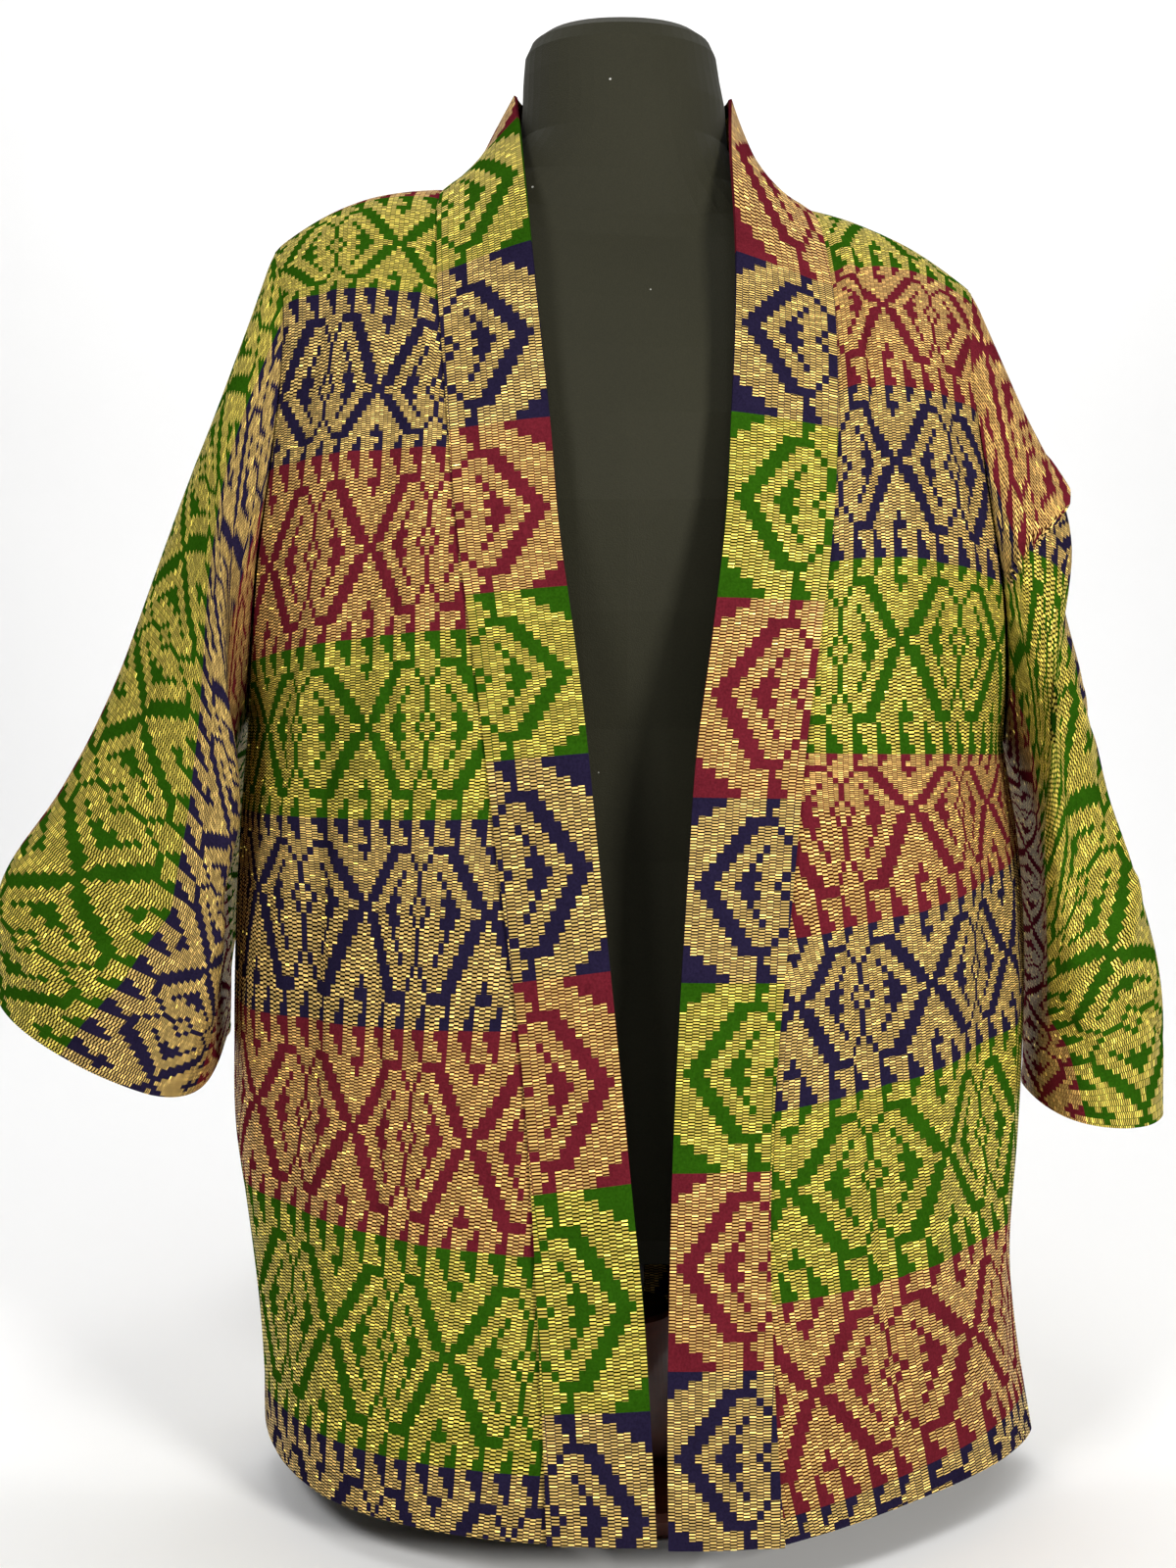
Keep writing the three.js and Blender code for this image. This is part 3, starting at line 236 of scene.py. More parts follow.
# The collar stands proud of the fronts at its seam, fading over a width, and laps over the seam.
COLLAR_PROUD = 1.5
COLLAR_PROUD_WIDTH = 7.0
COLLAR_CLEAR = 0.3
COLLAR_LAP = 1.6

# ---------------------------------------------------------------- the weave
# The cloth's own coordinates: c counts columns of gold and g counts colour bands. A band is green,
# navy or magenta by floor(g) mod 3, with a crossing of the pattern at c = 0 in the middle of it.
COLUMN = 2.7
BAND = 87.4
# Where the colours change: (g, row at the side, row at the collar seam).
BANDS_FRONT_RIGHT = [
    (2, 14.6, 14.5), (3, 13.25, 12.94), (3.525, 12.55, 12.23), (4, 11.95, 11.62), (4.525, 10.61, 10.43),
    (5, 9.9, 9.88), (5.525, 8.91, 8.96), (6, 8.0, 8.06), (6.525, 6.95, 7.03), (7, 6.12, 6.19),
    (7.525, 5.5, 5.37), (8, 4.38, 4.38), (8.525, 3.66, 3.42), (9, 2.72, 2.5), (9.525, 1.7, 1.52),
    (10, 0.56, 0.56), (11, -1.2, -1.2),
]
BANDS_FRONT_LEFT = [
    (13, 14.4, 13.9), (12, 12.85, 12.1), (11.525, 12.22, 11.58), (11, 11.0, 10.47), (10.525, 10.26, 9.6),
    (10, 9.1, 8.67), (9.525, 8.39, 7.82), (9, 6.9, 7.0), (8.525, 6.5, 6.5), (8, 6.0, 5.36),
    (7.525, 5.15, 4.78), (7, 4.5, 3.81), (6.525, 3.5, 3.08), (6, 2.4, 2.12), (5.525, 1.55, 1.25),
    (5, 0.45, 0.22), (4, -1.4, -1.5),
]
BANDS_BACK = [(2, 14.6, 14.6), (3, 12.95, 12.95), (4, 11.3, 11.3), (5, 9.6, 9.6), (6, 7.85, 7.85),
              (7, 6.15, 6.15), (8, 4.45, 4.45), (9, 2.8, 2.8), (10, 1.1, 1.1), (11, -0.6, -0.6)]
# The collar, by its own row: up the right front, round the neck to its middle seam, down the left.
BANDS_COLLAR_RIGHT = [(10.65, 0), (10, 1.1), (9, 3.05), (8, 4.8), (7, 6.7), (6, 8.4), (5, 10.05),
                      (4, 11.95), (3, 13.5), (1.5, 16.5)]
BANDS_COLLAR_LEFT = [(13.3, 16.5), (12, 18.7), (11, 21.1), (10, 22.95), (9, 24.7), (8, 26.4), (7, 28.0),
                     (6, 29.7), (5, 31.45), (4.05, 33)]
# Sleeves: share of the length, then the place round the ring of chosen values of g.
RING_PLACES = 28
STRIPES_SLEEVE_RIGHT = {"g": [2.525, 3.525, 4, 5, 6.2],
                        "at": [(0.0, -2.0, 2.2, 4.6, 8.6, 13.6), (0.2, -1.6, 2.4, 4.8, 9.0, 14.0),
                               (0.5, -0.8, 3.1, 5.5, 9.9, 15.0), (0.75, -1.8, 3.5, 5.9, 10.6, 16.0),
                               (0.86, -2.4, 2.9, 5.4, 10.4, 16.0), (1.0, -3.8, 1.4, 4.0, 9.4, 15.4)]}
STRIPES_SLEEVE_LEFT = {"g": [5, 4, 3.525, 3, 2, 1],
                       "at": [(0.0, 2.8, 7.0, 9.4, 11.8, 16, 20.2),
                              (0.11, 2.6, 7.0, 9.4, 11.4, 15.8, 20.2),
                              (0.3, -1.0, 3.8, 8.0, 12.2, 17.2, 22.3),
                              (0.54, -4.4, 1.6, 6.1, 11.2, 17.5, 23.8),
                              (0.76, -5.2, 1.4, 6.0, 11.6, 18.5, 25.3),
                              (0.88, -6.2, 0.8, 5.2, 9.6, 16.8, 24),
                              (1.0, -7.4, 0, 4.3, 8.3, 16, 23.8)]}
# The share of the length where c = 0, and the columns that the whole length has.
CROSSINGS_SLEEVE_RIGHT = (0.564, 136.0)
CROSSINGS_SLEEVE_LEFT = (0.54, 127.0)
# The flap of cloth on the left sleeve that laps over the cloth below it: share of length, ring place.
LAP = [(0.25, 1.0), (0.238, 3.0), (0.19, 5.1), (0.05, 8.8), (-0.05, 10.0)]
LAP_STEP = 5.0  # millimetres that its edge stands out, and how soon that fades, as a share of the length
LAP_STEP_FADE = 0.05
LAP_DIP = 1.5
LAP_DIP_FADE = 0.03
LAP_BAND = 2.96  # g on the flap at the start of the ring, and how much it falls from place to place
LAP_BAND_SLOPE = 0.137
LAP_COLUMNS = 9

# The share of each front's width where the crossings and the middles of the figures lie, by row.
ANCHORS = [-14, 0, 14, 28]
COLUMNS_FRONT_RIGHT = [
    (14, 0.40, 0.80, 1.20, 1.60), (12.3, 0.37, 0.75, 1.13, 1.50), (10.5, 0.32, 0.616, 0.93, 1.24),
    (8.9, 0.36, 0.616, 0.86, 1.10), (7.0, 0.366, 0.652, 0.839, 1.03), (5.4, 0.429, 0.661, 0.795, 0.955),
    (3.6, 0.455, 0.625, 0.76, 0.884), (1.6, 0.37, 0.527, 0.69, 0.821), (0, 0.30, 0.46, 0.63, 0.77),
]
COLUMNS_FRONT_LEFT = [
    (14, 0.28, 0.62, 1.0, 1.4), (11.8, 0.29, 0.634, 1.0, 1.37), (9.8, 0.27, 0.661, 0.955, 1.25),
    (8, 0.357, 0.679, 0.911, 1.14), (6.5, 0.47, 0.679, 0.875, 1.07), (5, 0.42, 0.625, 0.8125, 0.955),
    (3.2, 0.36, 0.536, 0.759, 0.955), (1.4, 0.24, 0.42, 0.723, 0.911), (0, 0.16, 0.34, 0.68, 0.87),
]

# A quarter of the repeat from the crossing: a line is a row of the chart, 15 columns out. # is gold.
# Above these rows stands a border of hooks, each five columns from the next.
CHART = [
    "..####...###.##",
    "#...###...###.#",
    "##...###.#####.",
    "###...###.####.",
    "####...###.###.",
    "#####...#####.#",
    ".#####...###.##",
    "..#####.....###",
]
HOOK_PITCH = 5
HOOK_START = 2
# The cloth's own border, which the collar is cut from: columns in from the collar's free edge,
# mirrored about the last one.
BORDER_CHART = [
    "#...###...###.##",
    "##...###...###.#",
    "###...###.#####.",
    "####...###.####.",
    "#####...###.###.",
    "######...#####.#",
    "#######...###.##",
    ".#######.....###",
    "...########.####",
    ".....######..###",
    ".......####...##",
]
CHART_ROWS = 20  # rows of the chart in one band, mirrored about its middle
HOOK_TOP = 12
LINES_PER_ROW = 3
REPEAT = 28
COLLAR_COLUMN = 3.12
COLOURS = 3  # green, navy, magenta
SAME = 0.4  # how near a whole number counts as that number

# Gold threads, in shares of a column's or a line's pitch from its middle: where a thread ends, and
# where it is full.
COLUMN_EDGE = (0.50, 0.42)
LINE_EDGE = (0.31, 0.20)
COLUMN_STAGGER = 0.35  # how far every other column is set on along the lines
ROUND_COLUMN = 1.96  # 2 would bring a column's round top down to nothing just at its edge
# A bead's brightness is chance to the power of the spread, times the range, plus the least: partly
# random tone of the thread, partly painted glints on the brightest beads.
GOLD_SPREAD = 3.0
GOLD_RANGE = 0.95
GOLD_LEAST = 0.58
# Painted glints: a few chance beads glow with emission and turn smoother, standing in for light caught
# on the gold.
PAINTED_GLINT_CHANCE = 0.988
PAINTED_GLINT_GLOW = 0.9
FUZZ_SCALE = 900.0
PATCH_SCALE = 60.0
GROUND_SHADE = (1.1, 0.5, 0.15)  # the parts of fuzz, of patches, and what is always there
REVERSE_SHADE = 0.3
REVERSE_ROUGHNESS = 0.9
GROUND_ROUGHNESS = 0.88
GOLD_SMOOTHER = 0.48
PAINTED_GLINT_SMOOTHER = 0.28
GOLD_METAL = 0.08
GOLD_SPECULAR = 0.14
FUZZ_HEIGHT = 0.22
WEAVE_BUMP = (0.00030, 0.8)  # metres, strength

SRGB = {
    "green": (38, 78, 10), "navy": (32, 27, 50), "magenta": (98, 28, 38),
    # The gap colours are painted shade: the ground made darker between the gold threads, where shade
    # falls.
    "painted_shade_green": (22, 22, 2), "painted_shade_navy": (17, 10, 9), "painted_shade_magenta": (50, 12, 5),
    "gold_green": (250, 226, 100), "gold_navy": (252, 212, 124), "gold_magenta": (255, 206, 120),
    "form": (40, 39, 24), "wood": (96, 44, 26), "paint": (38, 38, 38),
}
LINT = (0.5, 0.5, 0.46, 1)
LINT_SCALE = 46.0
LINT_SIZE = 0.028
WOOD_GRAIN = (14.0, 90.0, 90.0)
STAGE_GREY = (0.9, 0.9, 0.9, 1)

# ---------------------------------------------------------------- the stage, in metres
FLOOR_REACH = 6.0
BEND_START = 1.6
BEND_RADIUS = 0.9
BEND_STEPS = 12
WORLD_LIGHT = 0.07
CAMERA_PLACE = (-0.019, -1.0, 0.416)
CAMERA_LENS = 42.75
CAMERA_SENSOR = 36
CAMERA_SHIFT_UP = -0.0625
CAMERA_CLIP = 0.05
# Name, place, target, size, power, colour.
LIGHTS = [
    ("key", (0.95, -1.5, 0.8), (0.05, 0, 0.38), (0.35, 0.35), 24.5, (1.0, 0.98, 0.94)),
    ("fill", (-0.7, -1.15, 1.3), (-0.1, 0, 0.55), (0.35, 0.35), 10.5, (1, 1, 1)),
    ("top", (0.0, -0.9, 2.4), (0, 0, 0.5), (0.8, 0.8), 10, (1, 1, 1)),
    ("wall", (0.0, 0.9, 2.6), (0, 2.4, 0.6), (3.0, 1.0), 46, (1, 1, 1)),
    ("floor_left", (-1.6, 0.6, 1.8), (-1.2, 1.0, 0), (1.0, 1.0), 8, (1, 1, 1)),
    ("floor_right", (1.6, 0.6, 1.8), (1.2, 1.0, 0), (1.0, 1.0), 8, (1, 1, 1)),
]


def linear(name):
    out = []
    for value in SRGB[name]:
        v = value / 255
        out.append(v / 12.92 if v <= 0.04045 else ((v + 0.055) / 1.055) ** 2.4)
    return (*out, 1.0)


# ---------------------------------------------------------------- curves
def arr(values):
    return np.array(values, float)


def curve_at(points, at):
    """A smooth curve through evenly numbered points, at fractional point numbers."""
    points = arr(points)
    at = np.asarray(at, float)
    k = np.clip(np.floor(at).astype(int), 0, len(points) - 2)
    t = (at - k)[..., None]
    more = np.vstack([2 * points[0] - points[1], points, 2 * points[-1] - points[-2]])
    p0, p1, p2, p3 = more[k], more[k + 1], more[k + 2], more[k + 3]
    return 0.5 * (p0 * (-t + 2 * t**2 - t**3) + p1 * (2 - 5 * t**2 + 3 * t**3)
                  + p2 * (t + 4 * t**2 - 3 * t**3) + p3 * (-(t**2) + t**3))


def side_at(points, at):
    """The same for a side line, which turns sharply at the armpit."""
    points = arr(points)
    low = curve_at(points[:ARMPIT_ROW + 1], np.minimum(at, ARMPIT_ROW))
    high = curve_at(points[ARMPIT_ROW:], np.maximum(at, ARMPIT_ROW) - ARMPIT_ROW)
    return np.where((at <= ARMPIT_ROW)[..., None], low, high)


def hermite(p, dp, q, dq, t):
    t = np.asarray(t, float)[..., None]
    return (p * (1 - 3 * t**2 + 2 * t**3) + dp * (t - 2 * t**2 + t**3)
            + q * (3 * t**2 - 2 * t**3) + dq * (t**3 - t**2))


def unit(v):
    return v / np.maximum(np.linalg.norm(v, axis=-1, keepdims=True), 1e-9)


def track(table, column):
    return arr([row[column] for row in table])


def clamp01(t):
    return np.clip(t, 0, 1)


def fold_depth(folds, along, across, around=False):
    push = np.zeros(np.broadcast(along, across).shape)
    for start, end, reach, depth in folds:
        t = (along - start[0]) / (end[0] - start[0])
        inside = (t > 0) & (t < 1)
        t = clamp01(t)
        off = across - (start[1] + (end[1] - start[1]) * t)
        if around:
            off = off - np.round(off)
        taper = np.sqrt(np.sin(np.pi * t))
        push = push + np.where(inside, depth * taper * np.exp(-((off / reach) ** 2)), 0)
    return push


def grid_normals(grid, facing, closed=False):
    if closed:
        across = np.roll(grid, -1, 1) - np.roll(grid, 1, 1)
    else:
        across = np.gradient(grid, axis=1)
    along = np.gradient(grid, axis=0)
    return unit(np.cross(across, along)) * facing


def ripple(grid, name):
    """Faint unevenness, the same at every run."""
    start, size, fine = RIPPLE_START[name], RIPPLE_SIZE, RIPPLE_FINE
    broad_stretch, fine_stretch = RIPPLE_STRETCH
    flat = grid.reshape(-1, 3)
    out = np.empty(len(flat))
    for k, p in enumerate(flat):
        a = noise.noise(Vector((p[0] / size + start, p[1] / size, p[2] / (size * broad_stretch))))
        b = noise.noise(Vector((p[0] / fine, p[1] / fine + start, p[2] / (fine * fine_stretch))))
        out[k] = a + RIPPLE_FINE_SHARE * b
    return out.reshape(grid.shape[:2]) * RIPPLE * 2


# ---------------------------------------------------------------- the panels' outer faces
ROWS = np.linspace(0, TOP_ROW, TOP_ROW * STEPS + 1)
ARMPIT_STEP = ARMPIT_ROW * STEPS
LAST_STEP = TOP_ROW * STEPS
FRONT_T = np.linspace(0, 1, FRONT_COLUMNS + 1)


def edge_fade(u):
    return clamp01(np.minimum(u, 1 - u) / FOLD_EDGE_FADE)


def front_grid(table):
    a = side_at(track(table, 0), ROWS)[:, None]
    m = curve_at(track(table, 1), ROWS)[:, None]
    c = curve_at(track(table, 2), ROWS)[:, None]
    t = FRONT_T[None, :, None]
    return a * (1 - t) * (1 - 2 * t) + m * 4 * t * (1 - t) + c * t * (2 * t - 1)


def back_tracks(front, sign, armhole):
    side = track(front, 0)
    for row, point in armhole.items():
        side[row] = point

    def place(row, column):
        x = row[0][0] + sign * row[column][0]
        return (x, row[column][1], row[column][2] - SHOULDER_TILT * row[3] * x)

    quarter = arr([place(row, 1) for row in BACK])
    neck = arr([place(row, 2) for row in BACK])
    quarter[TOP_ROW] = front[TOP_ROW][1]
    neck[TOP_ROW] = front[TOP_ROW][2]
    return side, quarter, neck


def back_half(tracks, middle, corner):
    side, quarter, neck = tracks
    s = side_at(side, ROWS)
    q = curve_at(quarter, ROWS)
    n = curve_at(neck, ROWS)
    own = s - 4 * q + 3 * n
    to_middle = middle - n
    smooth = unit(unit(n - q) + unit(to_middle))
    at_neck = smooth * np.linalg.norm(own, axis=1)[:, None]
    at_neck = at_neck + (own - at_neck) * corner
    rounded = np.zeros_like(n)
    rounded[:, 1] = to_middle[:, 1] * ELLIPSE_SPEED
    from_neck = smooth * np.linalg.norm(to_middle, axis=1)[:, None]
    from_neck = from_neck + (rounded - from_neck) * corner
    return s, q, n, at_neck, from_neck


def shoulder_span(half, t):
    s, q, n, at_neck, _ = (x[:, None] for x in half)
    slope_side = (-3 * s + 4 * q - n) * 0.5
    slope_quarter = (n - s) * 0.5
    first = hermite(s, slope_side, q, slope_quarter, np.minimum(t, 0.5) * 2)
    second = hermite(q, slope_quarter, n, at_neck * 0.5, np.maximum(t, 0.5) * 2 - 1)
    return np.where((t <= 0.5)[None, :, None], first, second)


def back_grid():
    corner = (clamp01((ROWS - TOP_ROW + CORNER_ROWS) / CORNER_ROWS) ** 2)[:, None]
    middle = curve_at(track(BACK, 0), ROWS)
    a = back_half(back_tracks(FRONT_RIGHT, -1, ARMHOLE_BACK_RIGHT), middle, corner)
    b = back_half(back_tracks(FRONT_LEFT, 1, ARMHOLE_BACK_LEFT), middle, corner)
    speed = MIDDLE_SPEED + (ELLIPSE_SPEED - MIDDLE_SPEED) * corner
    slope = (b[2] - a[2]) * 0.5 * speed
    slope[:, 1] = 0
    half = NECK_COLUMNS // 2
    t = np.linspace(0, 1, half + 1)[1:]
    first = hermite(a[2][:, None], a[4][:, None], middle[:, None], slope[:, None], t)
    second = hermite(middle[:, None], slope[:, None], b[2][:, None], -b[4][:, None], t)
    right = shoulder_span(a, FRONT_T)
    left = shoulder_span(b, FRONT_T)[:, ::-1]
    return np.concatenate([right, first, second, left[:, 1:]], 1)


def collar_grid(back):
    pairs = {"seam": [], "edge": [], "bow": []}

    def climb(table, neck_roll, flip):
        seam = curve_at(track(table, 2), ROWS)
        edge = curve_at(track(table, 3), ROWS)
        share = clamp01((ROWS - TOP_ROW + ROLL_ROWS[0]) / ROLL_ROWS[1])
        bow = COLLAR_ROLL["fronts"] + (neck_roll - COLLAR_ROLL["fronts"]) * share
        order = slice(None, None, -1) if flip else slice(None)
        pairs["seam"].append(seam[order])
        pairs["edge"].append(edge[order])
        pairs["bow"].append(bow[order])

    climb(FRONT_RIGHT, COLLAR_ROLL["neck_right"], False)
    start = arr(FRONT_RIGHT[TOP_ROW][3])
    end = arr(FRONT_LEFT[TOP_ROW][3])
    middle = arr(NECK_FREE_EDGE_BACK)
    rise = arr([0, (middle[1] - start[1]) * ELLIPSE_SPEED, 0])
    across = arr([(end[0] - start[0]) * 0.5 * ELLIPSE_SPEED, 0, 0])
    t = np.linspace(0, 2, NECK_COLUMNS + 1)[1:-1]
    first = hermite(start[None], rise[None], middle[None], across[None], np.minimum(t, 1))
    second = hermite(middle[None], across[None], end[None], -rise[None], np.maximum(t, 1) - 1)
    pairs["edge"].append(np.where((t <= 1)[:, None], first, second))
    pairs["seam"].append(back[LAST_STEP, FRONT_COLUMNS + 1:FRONT_COLUMNS + NECK_COLUMNS])
    pairs["bow"].append(COLLAR_ROLL["neck_right"]
                        + (COLLAR_ROLL["neck_left"] - COLLAR_ROLL["neck_right"]) * t / 2)
    climb(FRONT_LEFT, COLLAR_ROLL["neck_left"], True)
    seam = np.concatenate(pairs["seam"])
    edge = np.concatenate(pairs["edge"])
    bow = np.concatenate(pairs["bow"])
    along = np.empty_like(seam)
    along[1:-1] = seam[2:] - seam[:-2]
    along[0] = seam[1] - seam[0]
    along[-1] = seam[-1] - seam[-2]
    roll = -unit(np.cross(along, edge - seam))
    t = np.linspace(0, 1, COLLAR_COLUMNS + 1)
    flat = seam[:, None] + (edge - seam)[:, None] * t[None, :, None]
    return flat + roll[:, None] * (bow[:, None] * 4 * t * (1 - t))[..., None]


def sleeve_grid(table, ring, sign):
    count = len(ring)
    table = arr(table)
    steps = (len(table) - 1) * STEPS
    s = np.arange(steps + 1) / STEPS
    row = curve_at(table, s)
    angle = 2 * np.pi * np.arange(count) / count
    c, f = np.cos(angle), np.sin(angle)
    square = row[:, 8][:, None]
    cs = np.sign(c)[None] * np.abs(c)[None] ** square
    fs = np.abs(f)[None] ** square
    front = (f > ON_THE_LINE)[None]
    outer = np.stack([row[:, 0], np.zeros(len(s)), row[:, 1]], 1)
    inner = np.stack([row[:, 2], np.zeros(len(s)), row[:, 3]], 1)
    centre = (outer + inner) / 2
    reach = outer - centre
    grid = centre[:, None] + reach[:, None] * cs[..., None]
    grid[..., 1] += np.where(front, row[:, 4][:, None], row[:, 5][:, None]) * fs
    grid[..., 2] += np.where(front, row[:, 6][:, None] * fs, 0)
    grid[..., 0] -= sign * row[:, 7][:, None] * (f**2)[None] * np.where(front, 1, CURL_BACK)
    fade = clamp01(1 - np.arange(steps + 1) / steps / ARMHOLE_BLEND) ** 2
    return grid + (ring - grid[0])[None] * fade[:, None, None]


# ---------------------------------------------------------------- meshes
def make_mesh(name, outer, inner, uv_low, uv_high, closed, facing, materials, uv_lap=None, lap=None):
    """A closed wall from an outer and an inner grid. uv_low and uv_high hold the weave coordinates of a
    row as the bottom and as the top of its faces, so that the weave may break at a seam."""
    rows, columns = outer.shape[:2]
    half = rows * columns
    spans = columns if closed else columns - 1
    verts = np.concatenate([outer.reshape(-1, 3), inner.reshape(-1, 3)]) * MM
    j, i = np.meshgrid(np.arange(rows - 1), np.arange(spans), indexing="ij")
    j, i = j.ravel(), i.ravel()
    e = (i + 1) % columns
    a, b, c, d = j * columns + i, j * columns + e, (j + 1) * columns + e, (j + 1) * columns + i
    uv = [uv_low[j, i], uv_low[j, i + 1], uv_high[j + 1, i + 1], uv_high[j + 1, i]]
    if lap is not None:
        pick = lap[j, i][:, None]
        other = [uv_lap[j, i], uv_lap[j, i + 1], uv_lap[j + 1, i + 1], uv_lap[j + 1, i]]
        uv = [np.where(pick, y, x) for x, y in zip(uv, other)]
    order = [0, 1, 2, 3] if facing > 0 else [0, 3, 2, 1]
    corner = [a, b, c, d]
    out_faces = np.stack([corner[k] for k in order], 1)
    out_uv = np.stack([uv[k] for k in order], 1)
    back_order = order[::-1]
    in_faces = np.stack([corner[k] + half for k in back_order], 1)
    in_uv = np.stack([uv[k] for k in back_order], 1)
    faces = [out_faces, in_faces]
    uvs = [out_uv, in_uv]
    kinds = [np.zeros(len(out_faces), int), np.ones(len(in_faces), int)]

    def rim(p, q, up, uq):
        face = np.stack([p, q, q + half, p + half], 1)
        quv = np.stack([up, uq, uq, up], 1)
        return face, quv

    k = np.arange(spans)
    n = (k + 1) % columns
    last = (rows - 1) * columns
    strips = [rim(n, k, uv_low[0, k + 1], uv_low[0, k]),
              rim(last + k, last + n, uv_high[rows - 1, k], uv_high[rows - 1, k + 1])]
    if not closed:
        k = np.arange(rows - 1)
        w = columns - 1
        strips.append(rim(k * columns, (k + 1) * columns, uv_low[k, 0], uv_high[k + 1, 0]))
        strips.append(rim((k + 1) * columns + w, k * columns + w, uv_high[k + 1, w], uv_low[k, w]))
    for face, quv in strips:
        if facing < 0:
            face, quv = face[:, ::-1], quv[:, ::-1]
        faces.append(face)
        uvs.append(quv)
        kinds.append(np.zeros(len(face), int))
    faces = np.concatenate(faces)
    uvs = np.concatenate(uvs).reshape(-1, 2)
    kinds = np.concatenate(kinds)
    name = name + "_cloth"
    mesh = bpy.data.meshes.new(name)
    mesh.from_pydata(verts.tolist(), [], faces.tolist())
    layer = mesh.uv_layers.new(name="weave")
    layer.data.foreach_set("uv", uvs.astype(np.float32).ravel())
    mesh.polygons.foreach_set("material_index", kinds.astype(np.int32))
    for material in materials:
        mesh.materials.append(material)
    mesh.polygons.foreach_set("use_smooth", np.ones(len(faces), bool))
    mesh.set_sharp_from_angle(angle=math.radians(SHARP_ANGLE))
    mesh.update()
    obj = bpy.data.objects.new(name, mesh)
    bpy.context.scene.collection.objects.link(obj)
    return obj


# ---------------------------------------------------------------- materials
class Nodes:
    """A small helper that adds maths nodes to a material."""

    def __init__(self, name):
        self.material = bpy.data.materials.new(name)
        self.material.use_nodes = True
        self.tree = self.material.node_tree
        self.shader = self.tree.nodes["Principled BSDF"]

    def put(self, socket, value):
        if isinstance(value, bpy.types.NodeSocket):
            self.tree.links.new(value, socket)
        else:
            socket.default_value = value

    def node(self, kind, **settings):
        made = self.tree.nodes.new(kind)
        for key, value in settings.items():
            setattr(made, key, value)
        return made

    def math(self, operation, a, b=0.0, c=0.0, clamp=False):
        made = self.node("ShaderNodeMath", operation=operation, use_clamp=clamp)
        for socket, value in zip(made.inputs, (a, b, c)):
            self.put(socket, value)
        return made.outputs[0]

    def mix(self, share, a, b):
        made = self.node("ShaderNodeMix", data_type="RGBA")
        self.put(made.inputs[0], share)
        self.put(made.inputs[6], a)
        self.put(made.inputs[7], b)
        return made.outputs[2]

    def scaled(self, colour, share):
        made = self.node("ShaderNodeVectorMath", operation="SCALE")
        self.put(made.inputs[0], colour[:3] if isinstance(colour, tuple) else colour)
        self.put(made.inputs["Scale"], share)
        return made.outputs[0]

    def noise(self, vector, scale, detail=2.0):
        made = self.node("ShaderNodeTexNoise")
        self.put(made.inputs["Vector"], vector)
        made.inputs["Scale"].default_value = scale
        made.inputs["Detail"].default_value = detail
        return made.outputs[0]

    def ramp(self, value, low, high):
        made = self.node("ShaderNodeMapRange", interpolation_type="SMOOTHSTEP")
        self.put(made.inputs[0], value)
        self.put(made.inputs[1], low)
        self.put(made.inputs[2], high)
        return made.outputs[0]

    def bump(self, height, distance, strength):
        made = self.node("ShaderNodeBump")
        made.inputs["Strength"].default_value = strength
        made.inputs["Distance"].default_value = distance
        self.put(made.inputs["Height"], height)
        return made.outputs[0]

    def place(self):
        return self.node("ShaderNodeTexCoord").outputs["Object"]

    def look(self, settings):
        for name, value in settings.items():
            self.put(self.shader.inputs[name], value)


